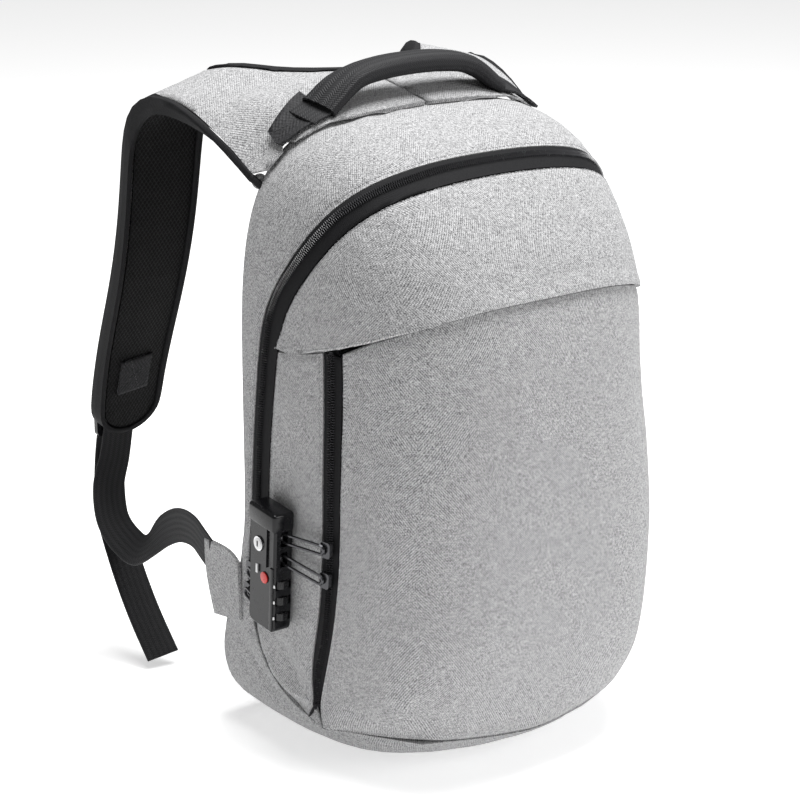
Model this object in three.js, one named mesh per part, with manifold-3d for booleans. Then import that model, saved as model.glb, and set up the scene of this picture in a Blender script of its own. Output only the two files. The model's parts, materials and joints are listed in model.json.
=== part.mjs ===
// A soft-sided backpack: grey fabric panels, black zips with a combination lock on the left side,
// padded shoulder straps and a webbing top handle. Millimetres, +Z up, the front faces -Y, and the
// origin is on the floor, under the middle of the back panel.

import * as THREE from "three";
import Module from "manifold-3d";

const wasm = await Module();
wasm.setup();

// Driving sizes of the bag's body
const BAG_HALF_WIDTH = 136;
const BAG_HEIGHT = 430;
const BAG_DEPTH = 175;
const MIDDLE_HEIGHT = 221; // the height that the front face's sections shrink to
const BASE_SINK = 8; // how far the base would reach below the floor if it were not pressed flat
const CROWN_ROUNDNESS = 4.36; // exponent of the outline's upper arch
const BASE_ROUNDNESS = 7.0; // exponent of the outline's lower half
const FABRIC_WALL = 2.2;
const SEAM_GAP = 0.3;
const BASE_SEAM_GAP = 1.4; // the groove of the seam round the base

// Zips
const MAIN_ZIP_WIDTH = 20;
const POCKET_ZIP_WIDTH = 15;
const ZIP_RECESS = 0.8;
const ZIP_TAPE_WALL = 1.2;
const COIL_WIDTH = 4.6;
const COIL_HEIGHT = 1.8;
const MAIN_ZIP_END = 134; // the angle from the crown where the main zip ends
const ZIP_TAPER = 9; // the angle over which a zip narrows to its end
const POCKET_SEAM_FORWARD = 0.52; // the pocket zip's place round the corner, as a share of the depth
const POCKET_ZIP_FOOT = 34; // height of the pocket zip's lower end
const YOKE_HEIGHT = 328; // the front yoke's lower edge, in the middle
const YOKE_DROP = 42; // how much lower that edge runs at the bag's sides
const YOKE_STEP = 1.6; // how far the yoke's hem stands proud

// Back panel
const BACK_PAD = 12;
const BACK_PAD_SPREAD = 0.96; // share of the back wall's radius that it covers

// Shoulder straps
const STRAP_REACH = 195; // how far the straps stand out behind the bag
const STRAP_THICKNESS = 12;
const STRAP_ROOT_THICKNESS = 3.4;
const STRAP_FRONT_BOW = 8;
const STRAP_END_RADIUS = 27;
const BINDING_START = { outer: 0.04, inner: 0.11 };
const STRAP_STEPS = 20; // faces along the strap before its rounded end
const STRAP_MESH_STATION = 4; // the station of the strap where its mesh lining begins
const AROUND_STEP = 8; // degrees between the sections round the bag
const GUSSET_STEPS = 5; // faces across the gusset
const POCKET_FOOT_STEP = 3.5; // degrees from the seam's corner to the foot of the pocket zip
const MESH_WALL = 2.6;
const BINDING_WIDTH = 5;
const BINDING_PROUD = 0.8;
const WEBBING_WIDTH = 25;
const WEBBING_WALL = 1.6;
const ADJUSTER_WIDTH = 33;
const ADJUSTER_HEIGHT = 22;
const ADJUSTER_WALL = 4.5;
const ADJUSTER_BAR = 4;

// Carrying handle
const HANDLE_WIDTH = 25;
const HANDLE_GRIP_WIDTH = 17;
const HANDLE_GRIP_THICKNESS = 7;
const HANDLE_HEIGHT = 26;
const HANDLE_FOOT = { run: 0.036, w: [0.27, 0.34, 0.41] };

// Wings at the foot of the straps
const WING_REACH = 50; // how far the wing's tip stands back of the front of the bag's back wall
const WING_HEIGHT = 55;
const WING_FOOT = 78;
const WING_WALL = 2.6;

// Lock
const LOCK_WIDTH = 30;
const LOCK_HEIGHT = 86;
const LOCK_DEPTH = 15;
const LOCK_ROUND = 4;
const LOCK_BEVEL = 1.6;
const LOCK_TILT = 4; // degrees that its top leans forward
const DIAL_RADIUS = 5.6;
const DIAL_HEIGHT = 5.4;
const DIAL_PITCH = 11.6;
const DIAL_PROUD = 1.3;
const DIAL_GAP = 0.4;
const KEY_RADIUS = 5;
const KEY_PROUD = 1.2;
const KEY_PLATE_WIDTH = 17;
const KEY_PLATE_HEIGHT = 29;
const KEY_PLATE_PROUD = 1.2;
const PULL_WIRE = 1.1; // radius of a pull's wire
const PULL_WIDTH = 6;

const SLIDER_WIDTH = 8;
const SLIDER_LENGTH = 11;
const SLIDER_HEIGHT = 3.6;

// Where the lock's back stands and where the adjuster hangs, as shares of half width, depth or reach, height
const LOCK_PLACE = { x: 1.008, y: 0.262, z: 0.33 };
const ADJUSTER_PLACE = { x: 0.83, y: 1.0954, z: 0.392 };

// The lock's slots for the pulls: the side (1 is the back), and the height as a share of the lock's
const PULL_SLOTS = [
  { side: 1, height: -0.24 },
  { side: 1, height: -0.42 },
  { side: -1, height: 0.29 },
  { side: -1, height: 0.12 },
];

// The pulls: which zip, the slider's height as a share of the bag's, and the slot that holds the pull
const PULLS = [
  { name: "main_1", zip: "main", slider: 0.298, slot: 0 },
  { name: "main_2", zip: "main", slider: 0.26, slot: 1 },
  { name: "pocket_1", zip: "pocket", slider: 0.385, slot: 2 },
  { name: "pocket_2", zip: "pocket", slider: 0.335, slot: 3 },
];

// Small pieces sewn on the straps: their corners as run along the strap and share of its width
const STRAP_PATCH = [
  { run: 0.83, w: 0.26 },
  { run: 0.9, w: 0.26 },
  { run: 0.9, w: 0.72 },
  { run: 0.83, w: 0.72 },
];
const STRAP_TAB = [
  { run: 0.9, w: 0.2 },
  { run: 0.97, w: 0.24 },
  { run: 0.97, w: 0.76 },
  { run: 0.9, w: 0.8 },
];
const HANDLE_PATCH = [
  { run: 0.055, w: 0.15 },
  { run: 0.004, w: 0.12 },
  { run: 0.016, w: 0.44 },
  { run: 0.07, w: 0.42 },
];

// The wing's outline seen from the side: shares of its reach behind the bag's middle and of its height
const WING_OUTLINE = [
  { back: 0.08, height: 0.1 },
  { back: 0.72, height: 0.0 },
  { back: 0.94, height: 0.5 },
  { back: 0.94, height: 0.96 },
  { back: 0.3, height: 1.0 },
  { back: 0.08, height: 0.86 },
];

// The handle's grip between its flat end and its middle: how far out it is, and how high it stands
const HANDLE_ARC = [
  { out: 0.84, rise: 0.42 },
  { out: 0.64, rise: 0.77 },
  { out: 0.34, rise: 0.95 },
  { out: 0, rise: 1 },
];

// The strap's two edges from the front seam on the bag's crown to its rounded end. X counts in half widths
// of the bag outwards, Y in strap reaches backwards and Z in bag heights
const STRAP_PATH = [
  { run: 0, outerX: 0.875, outerY: -0.03, outerZ: 0.917, innerX: 0.003, innerY: -0.12, innerZ: 1.004 },
  { run: 0.04, outerX: 0.897, outerY: 0.015, outerZ: 0.904, innerX: 0.003, innerY: 0.026, innerZ: 1.016 },
  { run: 0.07, outerX: 0.919, outerY: 0.072, outerZ: 0.926, innerX: 0.003, innerY: 0.15, innerZ: 1.024 },
  { run: 0.1, outerX: 0.934, outerY: 0.138, outerZ: 0.944, innerX: 0.006, innerY: 0.235, innerZ: 1.028 },
  { run: 0.15, outerX: 0.963, outerY: 0.262, outerZ: 0.972, innerX: 0.22, innerY: 0.27, innerZ: 1.03 },
  { run: 0.2, outerX: 0.99, outerY: 0.385, outerZ: 0.99, innerX: 0.39, innerY: 0.33, innerZ: 1.03 },
  { run: 0.26, outerX: 1.01, outerY: 0.513, outerZ: 0.996, innerX: 0.51, innerY: 0.43, innerZ: 1.034 },
  { run: 0.31, outerX: 1.022, outerY: 0.615, outerZ: 0.977, innerX: 0.588, innerY: 0.54, innerZ: 1.03 },
  { run: 0.36, outerX: 1.024, outerY: 0.68, outerZ: 0.943, innerX: 0.612, innerY: 0.605, innerZ: 1.004 },
  { run: 0.41, outerX: 1.024, outerY: 0.706, outerZ: 0.9, innerX: 0.625, innerY: 0.64, innerZ: 0.955 },
  { run: 0.48, outerX: 1.024, outerY: 0.728, outerZ: 0.838, innerX: 0.63, innerY: 0.668, innerZ: 0.886 },
  { run: 0.56, outerX: 1.024, outerY: 0.76, outerZ: 0.766, innerX: 0.63, innerY: 0.704, innerZ: 0.808 },
  { run: 0.64, outerX: 1.024, outerY: 0.806, outerZ: 0.692, innerX: 0.63, innerY: 0.756, innerZ: 0.728 },
  { run: 0.72, outerX: 1.024, outerY: 0.868, outerZ: 0.618, innerX: 0.63, innerY: 0.824, innerZ: 0.648 },
  { run: 0.81, outerX: 1.024, outerY: 0.94, outerZ: 0.536, innerX: 0.63, innerY: 0.91, innerZ: 0.56 },
  { run: 0.9, outerX: 1.024, outerY: 0.99, outerZ: 0.456, innerX: 0.63, innerY: 0.99, innerZ: 0.472 },
  { run: 1, outerX: 1.024, outerY: 1.025, outerZ: 0.376, innerX: 0.63, innerY: 1.04, innerZ: 0.388 },
];

// The webbing from the adjuster to the wing, and the tail, in the same shares. turned is the angle in
// degrees by which the webbing's width leans out of the level
const WEBBING_PATH = [
  { x: 0.822, y: 1.0755, z: 0.385, turned: 0 },
  { x: 0.868, y: 1.06, z: 0.33, turned: 2 },
  { x: 0.941, y: 1.026, z: 0.281, turned: 8 },
  { x: 0.985, y: 0.944, z: 0.2326, turned: 20 },
  { x: 0.993, y: 0.82, z: 0.209, turned: 40 },
  { x: 1.0, y: 0.718, z: 0.212, turned: 58 },
  { x: 0.97, y: 0.574, z: 0.267, turned: 76 },
  { x: 0.975, y: 0.461, z: 0.292, turned: 86 },
  { x: 0.996, y: 0.333, z: 0.298, turned: 90 },
  { x: 1.014, y: 0.23, z: 0.279, turned: 90 },
];
const TAIL_PATH = [
  { x: 0.83, y: 1.1145, z: 0.385, turned: 0 },
  { x: 0.86, y: 1.11, z: 0.32, turned: 3 },
  { x: 0.92, y: 1.04, z: 0.24, turned: 10 },
  { x: 0.94, y: 0.93, z: 0.165, turned: 15 },
  { x: 0.94, y: 0.8, z: 0.085, turned: 17 },
  { x: 0.93, y: 0.67, z: 0.018, turned: 17 },
];

// Side profile: the front face's depth and the back's kick-out, as shares of the depth, by height share
const SIDE_PROFILE = [
  { height: 0.0, front: 0.92, back: 0.147 },
  { height: 0.05, front: 0.96, back: 0.19 },
  { height: 0.105, front: 0.98, back: 0.22 },
  { height: 0.15, front: 1.0, back: 0.2 },
  { height: 0.21, front: 1.01, back: 0.12 },
  { height: 0.28, front: 1.02, back: 0.045 },
  { height: 0.4, front: 1.015, back: 0.0 },
  { height: 0.5, front: 1.01, back: 0.0 },
  { height: 0.7, front: 0.97, back: 0.0 },
  { height: 0.85, front: 0.905, back: 0.0 },
  { height: 1.0, front: 0.78, back: -0.021 },
];

// How square the turn from front to side is, by the angle from the crown
const TURN_SQUARENESS = [
  { angle: 0, power: 2.8 },
  { angle: 60, power: 2.45 },
  { angle: 100, power: 2.84 },
  { angle: 140, power: 3.16 },
  { angle: 180, power: 6.28 },
];

// Where the main zip and the seam below it run: the share of the local depth, by the angle from the crown
const MAIN_SEAM = [
  { angle: 0, forward: 0.65 },
  { angle: 18, forward: 0.64 },
  { angle: 28, forward: 0.59 },
  { angle: 37, forward: 0.48 },
  { angle: 44, forward: 0.375 },
  { angle: 50, forward: 0.28 },
  { angle: 59, forward: 0.2 },
  { angle: 78, forward: 0.15 },
  { angle: 99, forward: 0.12 },
  { angle: 119, forward: 0.105 },
  { angle: 133, forward: 0.11 },
  { angle: 138.5, forward: 0.2 },
  { angle: 144, forward: 0.35 },
  { angle: 149, forward: 0.56 },
  { angle: 153, forward: 0.8 },
  { angle: 166, forward: 0.89 },
  { angle: 180, forward: 0.92 },
];

const radians = THREE.MathUtils.degToRad;
const degrees = THREE.MathUtils.radToDeg;
const { clamp, lerp, smoothstep } = THREE.MathUtils;

// A smooth curve with no overshoot through a table's rows
function tableAt(rows, along, column, at) {
  const xs = rows.map((row) => row[along]);
  const ys = rows.map((row) => row[column]);
  const x = clamp(at, xs[0], xs[xs.length - 1]);
  const slopes = xs.slice(1).map((_, i) => (ys[i + 1] - ys[i]) / (xs[i + 1] - xs[i]));
  const tangent = (i) => {
    if (i === 0) return slopes[0];
    if (i === slopes.length) return slopes[i - 1];
    const product = slopes[i - 1] * slopes[i];
    return product <= 0 ? 0 : (2 * product) / (slopes[i - 1] + slopes[i]);
  };
  let k = 0;
  while (k < slopes.length - 1 && x > xs[k + 1]) k += 1;
  const span = xs[k + 1] - xs[k];
  const t = (x - xs[k]) / span;
  return (
    ys[k] * (1 + 2 * t) * (1 - t) ** 2 +
    tangent(k) * span * t * (1 - t) ** 2 +
    ys[k + 1] * t * t * (3 - 2 * t) +
    tangent(k + 1) * span * t * t * (t - 1)
  );
}

// Radius of the bag's outline, seen from the front, at an angle from the crown
function outlineRadius(angle) {
  const across = Math.abs(Math.sin(angle)) / BAG_HALF_WIDTH;
  const upright = Math.abs(Math.cos(angle));
  const crown = Math.cos(angle) >= 0;
  const reach = crown ? BAG_HEIGHT - MIDDLE_HEIGHT : MIDDLE_HEIGHT + BASE_SINK;
  const power = crown ? CROWN_ROUNDNESS : BASE_ROUNDNESS;
  return (across ** power + (upright / reach) ** power) ** (-1 / power);
}

const squareness = (angle) => tableAt(TURN_SQUARENESS, "angle", "power", degrees(Math.abs(angle)));

// A point of the bag's outer surface. turn runs from 0 in the middle of the front to PI / 2 at the back rim
function bagPoint(angle, turn) {
  const power = squareness(angle);
  const spread = Math.max(Math.sin(turn), 0) ** (2 / power);
  const forward = Math.max(Math.cos(turn), 0) ** (2 / power);
  const radius = spread * outlineRadius(angle);
  const height = MIDDLE_HEIGHT + radius * Math.cos(angle);
  const z = Math.max(height, 0);
  const share = z / BAG_HEIGHT;
  const front = BAG_DEPTH * tableAt(SIDE_PROFILE, "height", "front", share);
  const back = BAG_DEPTH * tableAt(SIDE_PROFILE, "height", "back", share);
  return new THREE.Vector3(radius * Math.sin(angle), back * (1 - forward) - front * forward, z);
}

// The surface's outward normal
function bagNormal(angle, turn) {
  const step = 0.004;
  if (turn < step) return new THREE.Vector3(0, -1, 0);
  const t = clamp(turn, step * 2, Math.PI / 2 - step * 2);
  const alongAngle = bagPoint(angle + step, t).sub(bagPoint(angle - step, t));
  const alongTurn = bagPoint(angle, t + step).sub(bagPoint(angle, t - step));
  return alongAngle.cross(alongTurn).normalize();
}

// A point at a height over the surface, less for a depth
const overBag = (angle, turn, lift) => bagPoint(angle, turn).addScaledVector(bagNormal(angle, turn), lift);

// The turn that lies some millimetres further towards the back rim
function slide(angle, turn, distance) {
  const steps = 4;
  let t = turn;
  for (let i = 0; i < steps; i += 1) {
    const probe = 0.004;
    const low = clamp(t - probe, 0, Math.PI / 2);
    const high = clamp(t + probe, 0, Math.PI / 2);
    const rate = bagPoint(angle, high).distanceTo(bagPoint(angle, low)) / (high - low);
    t = clamp(t + distance / steps / rate, 0, Math.PI / 2);
  }
  return t;
}

// The first turn, from the front's middle, where a function of the surface point changes sign
function crossing(angle, test, fallback) {
  const count = 48;
  let low = 0.01;
  const before = test(bagPoint(angle, low)) < 0;
  for (let i = 1; i <= count; i += 1) {
    let high = (Math.PI / 2) * (i / count);
    if (test(bagPoint(angle, high)) < 0 !== before) {
      for (let k = 0; k < 30; k += 1) {
        const middle = (low + high) / 2;
        if (test(bagPoint(angle, middle)) < 0 === before) low = middle;
        else high = middle;
      }
      return low;
    }
    low = high;
  }
  return fallback;
}

// The main seam, and how far the zip pushes the panels apart there
function mainSeamTurn(angle) {
  const forward = tableAt(MAIN_SEAM, "angle", "forward", degrees(Math.abs(angle)));
  return Math.acos(forward ** (squareness(angle) / 2));
}
const zipShare = (angle) =>
  1 - smoothstep(degrees(Math.abs(angle)), MAIN_ZIP_END - ZIP_TAPER, MAIN_ZIP_END);
const mainSeamHalf = (angle) => lerp(BASE_SEAM_GAP, MAIN_ZIP_WIDTH, zipShare(angle)) / 2;
const shellEdge = (angle) => slide(angle, mainSeamTurn(angle), mainSeamHalf(angle));
const capEdge = (angle) => slide(angle, mainSeamTurn(angle), -mainSeamHalf(angle));

// The yoke's lower edge and the pocket zip's line
const yokeLine = (p) => p.z - YOKE_HEIGHT + YOKE_DROP * (Math.abs(p.x) / BAG_HALF_WIDTH) ** 3.4;
const yokeTurn = (angle, shift = 0) => crossing(angle, (p) => yokeLine(p) - shift, Math.PI / 2);
const pocketTurn = (angle) =>
  Math.sin(angle) < 0 ? Math.acos(POCKET_SEAM_FORWARD ** (squareness(angle) / 2)) : Math.PI / 2;
const pocketShare = (angle) =>
  smoothstep(bagPoint(angle, pocketTurn(angle)).z, POCKET_ZIP_FOOT, POCKET_ZIP_FOOT + 2 * POCKET_ZIP_WIDTH);
const pocketHalf = (angle) => SEAM_GAP / 2 + (POCKET_ZIP_WIDTH / 2) * pocketShare(angle);
const pocketInner = (angle) => slide(angle, pocketTurn(angle), -pocketHalf(angle));
const pocketOuter = (angle) => slide(angle, pocketTurn(angle), pocketHalf(angle));

// A closed mesh from triangles; slivers with two equal corners are left out
function solidFrom(triangles) {
  const keys = new Map();
  const positions = [];
  const indices = [];
  const indexOf = (p) => {
    const key = [p.x, p.y, p.z].map((v) => Math.round(v * 1000)).join(",");
    if (!keys.has(key)) {
      keys.set(key, positions.length / 3);
      positions.push(p.x, p.y, p.z);
    }
    return keys.get(key);
  };
  let volume = 0;
  for (const corners of triangles) {
    const [a, b, c] = corners.map(indexOf);
    if (a === b || b === c || a === c) continue;
    indices.push(a, b, c);
    volume += corners[0].dot(corners[1].clone().cross(corners[2]));
  }
  if (volume < 0) indices.reverse();
  const geometry = new THREE.BufferGeometry();
  geometry.setAttribute("position", new THREE.Float32BufferAttribute(positions, 3));
  geometry.setIndex(indices);
  return geometry;
}

const quad = (a, b, c, d) => [
  [a, b, c],
  [a, c, d],
];

// A wall between two grids of points, closed at its borders. rows wrap round when closed is true
function wallSolid(rows, columns, outer, inner, closed = false) {
  const outside = rows.map((r) => columns(r).map((c) => outer(r, c)));
  const inside = rows.map((r) => columns(r).map((c) => inner(r, c)));
  const triangles = [];
  const last = outside[0].length - 1;
  const count = rows.length;
  const spans = closed ? count : count - 1;
  for (let i = 0; i < spans; i += 1) {
    const j = (i + 1) % count;
    for (let k = 0; k < last; k += 1) {
      triangles.push(...quad(outside[i][k], outside[j][k], outside[j][k + 1], outside[i][k + 1]));
      triangles.push(...quad(inside[i][k + 1], inside[j][k + 1], inside[j][k], inside[i][k]));
    }
    triangles.push(...quad(outside[i][last], outside[j][last], inside[j][last], inside[i][last]));
    triangles.push(...quad(inside[i][0], inside[j][0], outside[j][0], outside[i][0]));
  }
  if (!closed) {
    for (let k = 0; k < last; k += 1) {
      const e = count - 1;
      triangles.push(...quad(outside[0][k], outside[0][k + 1], inside[0][k + 1], inside[0][k]));
      triangles.push(...quad(inside[e][k], inside[e][k + 1], outside[e][k + 1], outside[e][k]));
    }
  }
  return solidFrom(triangles);
}

// Turns that part a section's way between two turns into equal lengths
function evenTurns(angle, from, to, count) {
  const samples = 60;
  const turnOf = (q) => (Math.PI / 2) * q ** 3;
  const first = Math.cbrt(from / (Math.PI / 2));
  const last = Math.cbrt(to / (Math.PI / 2));
  const turns = stations(first, last, samples).map(turnOf);
  const lengths = [0];
  for (let i = 1; i <= samples; i += 1) {
    lengths.push(lengths[i - 1] + bagPoint(angle, turns[i]).distanceTo(bagPoint(angle, turns[i - 1])));
  }
  return stations(0, lengths[samples], count).map((length, i) => {
    if (i === 0) return from;
    if (i === count) return to;
    const k = lengths.findIndex((value) => value >= length);
    return lerp(turns[k - 1], turns[k], (length - lengths[k - 1]) / (lengths[k] - lengths[k - 1]));
  });
}

const stations = (from, to, count) => Array.from({ length: count + 1 }, (_, i) => lerp(from, to, i / count));
const byAngle = (from, to, step) =>
  stations(from, to, Math.max(2, Math.round(Math.abs(to - from) / step))).map(radians);

// A strip of some section swept along stations that each give a place and two axes
function sweepSolid(path, section, closed = false) {
  const rings = path.map((station, i) => {
    const points = typeof section === "function" ? section(station, i) : section;
    return points.map(([across, up]) =>
      station.place.clone().addScaledVector(station.across, across).addScaledVector(station.up, up),
    );
  });
  const triangles = [];
  const sides = rings[0].length;
  const spans = closed ? rings.length : rings.length - 1;
  for (let i = 0; i < spans; i += 1) {
    const next = rings[(i + 1) % rings.length];
    for (let k = 0; k < sides; k += 1) {
      const m = (k + 1) % sides;
      triangles.push(...quad(rings[i][k], rings[i][m], next[m], next[k]));
    }
  }
  if (!closed) {
    for (let k = 1; k < sides - 1; k += 1) {
      const first = rings[0];
      const final = rings[rings.length - 1];
      triangles.push([first[0], first[k + 1], first[k]], [final[0], final[k], final[k + 1]]);
    }
  }
  return solidFrom(triangles);
}

const flatSection = (width, thickness) => [
  [-width / 2, -thickness / 2],
  [width / 2, -thickness / 2],
  [width / 2, thickness / 2],
  [-width / 2, thickness / 2],
];
const roundSection = (radius, sides) =>
  stations(0, Math.PI * 2, sides)
    .slice(0, -1)
    .map((a) => [radius * Math.cos(a), radius * Math.sin(a)]);

// Stations along a curve, with the across direction given for each share of the way
function stationsAlong(curve, count, acrossAt) {
  return stations(0, 1, count).map((share) => {
    const place = curve.getPointAt(share);
    const along = curve.getTangentAt(share);
    const across = acrossAt(share, along, place).clone();
    across.addScaledVector(along, -across.dot(along)).normalize();
    return { place, across, up: along.clone().cross(across).normalize(), along, share };
  });
}

// Joining and cutting
function manifoldOf(geometry) {
  const position = geometry.getAttribute("position");
  const corner = (i) => new THREE.Vector3().fromBufferAttribute(position, i);
  const count = geometry.index ? geometry.index.count : position.count;
  const at = (i) => corner(geometry.index ? geometry.index.getX(i) : i);
  const triangles = stations(0, count / 3 - 1, count / 3 - 1).map((i) => {
    const k = Math.round(i) * 3;
    return [at(k), at(k + 1), at(k + 2)];
  });
  const welded = solidFrom(triangles);
  return new wasm.Manifold(
    new wasm.Mesh({
      numProp: 3,
      vertProperties: new Float32Array(welded.getAttribute("position").array),
      triVerts: new Uint32Array(welded.index.array),
    }),
  );
}
function geometryOf(manifold) {
  const mesh = manifold.getMesh();
  const geometry = new THREE.BufferGeometry();
  geometry.setAttribute("position", new THREE.Float32BufferAttribute([...mesh.vertProperties], 3));
  geometry.setIndex([...mesh.triVerts]);
  return geometry;
}
// A piece less its neighbours' room; crumbs that the cut leaves beside the piece are dropped
function cut(geometry, ...tools) {
  const rest = tools.reduce((piece, tool) => piece.subtract(tool), manifoldOf(geometry));
  return geometryOf(rest.decompose().sort((a, b) => b.volume() - a.volume())[0]);
}

const group = new THREE.Group();
function place(name, geometry, material) {
  const mesh = new THREE.Mesh(geometry, material);
  mesh.name = name;
  group.add(mesh);
}
const mirrored = (geometry) => solidFrom(trianglesOf(geometry.clone().scale(-1, 1, 1)));
function trianglesOf(geometry) {
  const position = geometry.getAttribute("position");
  const corner = (i) => new THREE.Vector3().fromBufferAttribute(position, geometry.index.getX(i));
  const triangles = [];
  for (let i = 0; i < geometry.index.count; i += 3) triangles.push([corner(i), corner(i + 1), corner(i + 2)]);
  return triangles;
}
function placePair(name, geometry, material) {
  place(name + "_left", geometry, material);
  place(name + "_right", mirrored(geometry), material);
}

const material = (color, roughness, metalness = 0) => new THREE.MeshStandardMaterial({ color, roughness, metalness });
const greyFabric = material(0xa9a9a9, 0.9);
const blackTape = material(0x1c1c1e, 0.75);
const blackWebbing = material(0x262628, 0.8);
const blackMesh = material(0x17181a, 0.9);
const coilNylon = material(0x303033, 0.45);
const lockPlastic = material(0x1b1c1f, 0.4);
const dialPlastic = material(0x101113, 0.35);
const steel = material(0xc9cacc, 0.3, 1);
const signalRed = material(0xc8231c, 0.5);

// The angle where a boundary crosses another, searched between two angles in degrees
function meeting(from, to, first, second) {
  let low = radians(from);
  let high = radians(to);
  const before = first(low) < second(low);
  for (let i = 0; i < 40; i += 1) {
    const middle = (low + high) / 2;
    if (first(middle) < second(middle) === before) low = middle;
    else high = middle;
  }
  return degrees(low);
}
const yokeCorner = meeting(10, 100, yokeTurn, capEdge);
const pocketTop = meeting(-100, -20, yokeTurn, pocketTurn);
const pocketBottom = meeting(-125, -165, pocketOuter, capEdge);


// The angles that every panel along the main seam shares, with the panels' corners among them
const pocketFoot = pocketBottom + POCKET_FOOT_STEP;
const CORNERS = [pocketTop, pocketBottom, pocketFoot, yokeCorner, -yokeCorner];
const AROUND = [
  ...byAngle(-180, 180, AROUND_STEP).slice(0, -1).map(degrees).filter((a) => CORNERS.every((c) => Math.abs(a - c) > 2.5)),
  ...CORNERS,
]
  .sort((a, b) => a - b)
  .map(radians);
const between = (from, to) => [
  radians(from),
  ...AROUND.filter((a) => a > radians(from + 0.5) && a < radians(to - 0.5)),
  radians(to),
];

// The rear tub: gusset, crown and base in one wall, closed by the back
const backAt = (z) => BAG_DEPTH * tableAt(SIDE_PROFILE, "height", "back", z / BAG_HEIGHT);
const rimCentre = new THREE.Vector3(0, 0, MIDDLE_HEIGHT);
const BACK_SPREADS = [BACK_PAD_SPREAD, 0.8, 0.62, 0.42, 0.2, 0];
function backPoint(angle, spread, depth) {
  const p = overBag(angle, Math.PI / 2, -Math.max(depth, 0) * smoothstep(spread, 0.9, 1));
  if (spread < 1) p.lerp(rimCentre, 1 - spread);
  p.y = backAt(p.z) - depth;
  return p;
}
function mainShell() {
  const columns = (angle) => [
    ...evenTurns(angle, shellEdge(angle), Math.PI / 2, GUSSET_STEPS).map((turn) => ({ turn, spread: 1 })),
    ...BACK_SPREADS.map((spread) => ({ turn: Math.PI / 2, spread })),
  ];
  const point = (angle, c, depth) =>
    c.turn < Math.PI / 2 ? overBag(angle, c.turn, -depth) : backPoint(angle, c.spread, depth);
  return wallSolid(AROUND, columns, (a, c) => point(a, c, 0), (a, c) => point(a, c, FABRIC_WALL), true);
}

// The bag's whole body with a clearance, to cut the pieces that are seated on it
function bodyEnvelope(clearance) {
  const columns = (angle) => [
    ...stations(0, shellEdge(angle), 12).slice(0, -1).map((turn) => ({ turn, spread: 1 })),
    ...evenTurns(angle, shellEdge(angle), Math.PI / 2, GUSSET_STEPS).map((turn) => ({ turn, spread: 1 })),
    ...BACK_SPREADS.map((spread) => ({ turn: Math.PI / 2, spread })),
  ];
  const grid = AROUND.map((angle) =>
    columns(angle).map((c) =>
      c.turn < Math.PI / 2 ? overBag(angle, c.turn, clearance) : backPoint(angle, c.spread, -clearance),
    ),
  );
  const triangles = [];
  grid.forEach((row, i) => {
    const next = grid[(i + 1) % grid.length];
    for (let k = 0; k < row.length - 1; k += 1) triangles.push(...quad(row[k], next[k], next[k + 1], row[k + 1]));
  });
  return manifoldOf(solidFrom(triangles));
}

function frontYoke() {
  const columns = (angle) => evenTurns(angle, yokeTurn(angle, SEAM_GAP), capEdge(angle), 4);
  const lift = (angle, turn) => {
    const low = yokeTurn(angle);
    return YOKE_STEP * (1 - smoothstep(turn, low, lerp(low, capEdge(angle), 0.6)));
  };
  return wallSolid(
    between(-yokeCorner + 1, yokeCorner - 1),
    columns,
    (a, t) => overBag(a, t, lift(a, t)),
    (a, t) => overBag(a, t, -FABRIC_WALL),
  );
}

const pocketEdge = (angle) =>
  Math.min(capEdge(angle), yokeTurn(angle, -SEAM_GAP), pocketInner(angle));
function pocketPanel() {
  const columns = (angle) => {
    const edge = pocketEdge(angle);
    const shoulder = Math.min(Math.acos(0.95 ** (squareness(angle) / 2)), edge * 0.8);
    return [...evenTurns(angle, 0, shoulder, 3).slice(0, -1), ...evenTurns(angle, shoulder, edge, 4)];
  };
  return wallSolid(AROUND, columns, (a, t) => overBag(a, t, 0), (a, t) => overBag(a, t, -FABRIC_WALL), true);
}

// The strip between the pocket zip and the main zip, on the bag's left side
function sideStrip() {
  const turnAt = (angle, across) => lerp(pocketOuter(angle), capEdge(angle), across);
  const topAt = (across) =>
    radians(meeting(-100, -30, (angle) => -yokeLine(bagPoint(angle, turnAt(angle, across))) - SEAM_GAP, () => 0));
  const across = stations(0, 1, 4);
  const tops = new Map(across.map((u) => [u, topAt(u)]));
  const bottom = radians(pocketBottom);
  const rows = between(degrees(bottom), degrees(tops.get(1)));
  const angleAt = (row, u) => lerp(bottom, tops.get(u), (row - bottom) / (tops.get(1) - bottom));
  const point = (row, u, lift) => overBag(angleAt(row, u), turnAt(angleAt(row, u), u), lift);
  return wallSolid(rows, () => across, (r, u) => point(r, u, 0), (r, u) => point(r, u, -FABRIC_WALL));
}

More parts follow.
